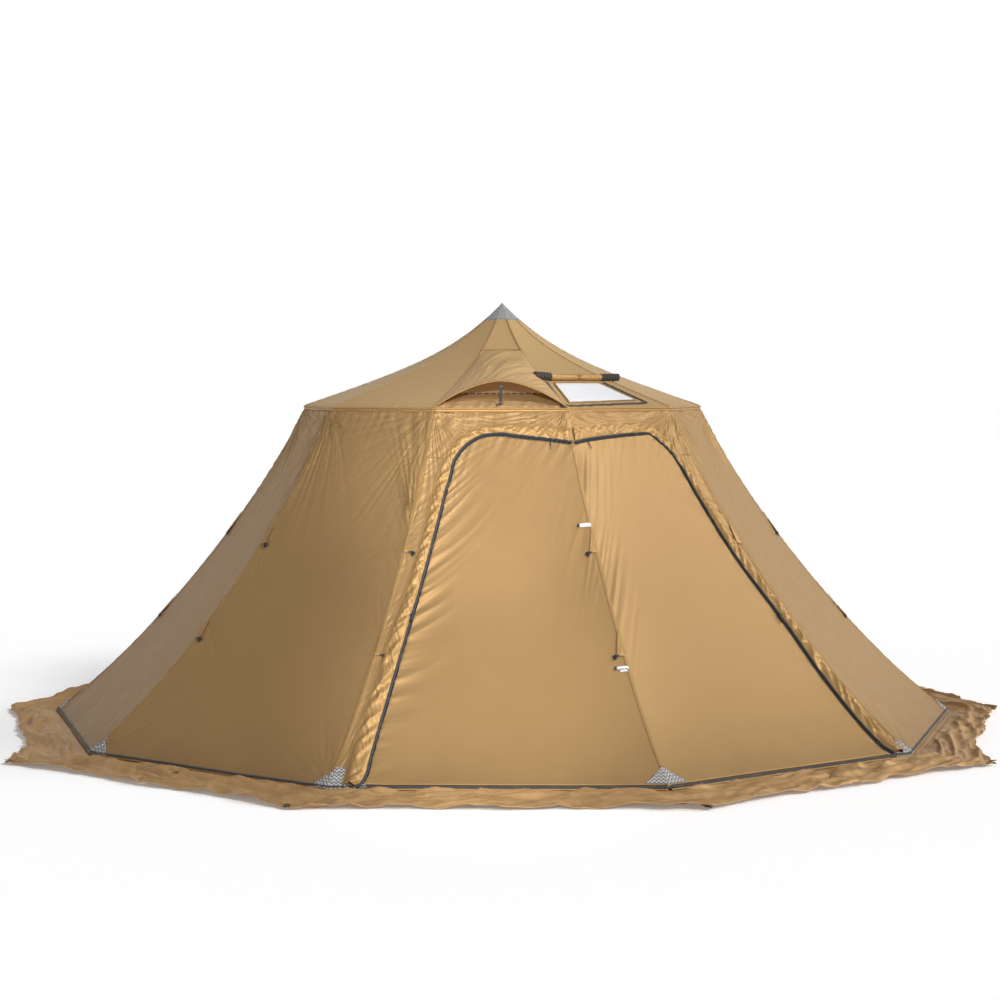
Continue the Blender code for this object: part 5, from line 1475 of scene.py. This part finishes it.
# ------------------------------------------------------------------ studio
fl = bpy.data.meshes.new("studio_floor")
fl.from_pydata([(-60, -60, 0), (60, -60, 0), (60, 60, 0), (-60, 60, 0)], [], [(0, 1, 2, 3)])
floor = bpy.data.objects.new("studio_floor", fl)
bpy.context.scene.collection.objects.link(floor)
fm = bpy.data.materials.new("studio_floor"); fm.use_nodes = True
fb = fm.node_tree.nodes["Principled BSDF"]
fb.inputs["Base Color"].default_value = (0.97, 0.97, 0.97, 1)
fb.inputs["Roughness"].default_value = 0.9
fb.inputs["Emission Color"].default_value = (1, 1, 1, 1)
fb.inputs["Emission Strength"].default_value = 0.14
fb.inputs["Specular IOR Level"].default_value = 0.1
fl.materials.append(fm)

scene = bpy.context.scene
scene.view_settings.view_transform = "Standard"
world = bpy.data.worlds.new("studio")
scene.world = world
world.use_nodes = True
wt = world.node_tree
bg = wt.nodes["Background"]
tc = wt.nodes.new("ShaderNodeTexCoord")
sp = wt.nodes.new("ShaderNodeSeparateXYZ")
ramp = wt.nodes.new("ShaderNodeValToRGB")
wt.links.new(tc.outputs["Generated"], sp.inputs[0])
wt.links.new(sp.outputs["Z"], ramp.inputs["Fac"])
wt.links.new(ramp.outputs["Color"], bg.inputs["Color"])
ramp.color_ramp.elements[0].position = 0.27
ramp.color_ramp.elements[0].color = (1, 1, 1, 1)
ramp.color_ramp.elements[1].position = 0.42
ramp.color_ramp.elements[1].color = (0.24, 0.24, 0.245, 1)
bg.inputs["Strength"].default_value = 1.0

for name, az, el, energy, soft in (("key", 48, 36, 2.1, 18), ("side", 104, 34, 0.95, 24)):
    sun = bpy.data.lights.new(name, "SUN")
    sun.energy = energy
    sun.angle = math.radians(soft)
    so = bpy.data.objects.new(name, sun)
    bpy.context.scene.collection.objects.link(so)
    a_, e_ = math.radians(az), math.radians(el)
    d = -Vector((math.sin(a_) * math.cos(e_), -math.cos(a_) * math.cos(e_), math.sin(e_)))
    so.rotation_euler = d.to_track_quat("-Z", "Y").to_euler()

for name, energy, cone, aim in (("door_light_top", 2900, 11.0, (-0.10, -1.45, 1.42)), ("door_light_low", 2200, 13.0, (-0.05, -2.10, 0.40))):
    spot = bpy.data.lights.new(name, "SPOT")
    spot.energy = energy
    spot.shadow_soft_size = 0.25
    spot.spot_size = math.radians(cone)
    spot.spot_blend = 0.95
    sp_o = bpy.data.objects.new(name, spot)
    bpy.context.scene.collection.objects.link(sp_o)
    sp_o.location = (0.3, -10.2, 3.6)
    sp_o.rotation_euler = (Vector(aim) - sp_o.location).to_track_quat("-Z", "Y").to_euler()

cam = bpy.data.cameras.new("camera")
cam.lens, cam.sensor_width = 77.01, 36.0
cam.clip_end = 200
co = bpy.data.objects.new("camera", cam)
bpy.context.scene.collection.objects.link(co)
yaw, pitch, rot = -0.0010, -0.0532, 0.0066
R_ = Matrix.Rotation(rot, 3, "Z")
right = R_ @ Vector((math.cos(yaw), -math.sin(yaw), 0))
fwd = R_ @ Vector((math.sin(yaw) * math.cos(pitch), math.cos(yaw) * math.cos(pitch), math.sin(pitch)))
upv = right.cross(fwd)
M = Matrix((right, upv, -fwd)).transposed().to_4x4()
M.translation = Vector((0.0783, -11.8627, 1.8121))
co.matrix_world = M
scene.camera = co
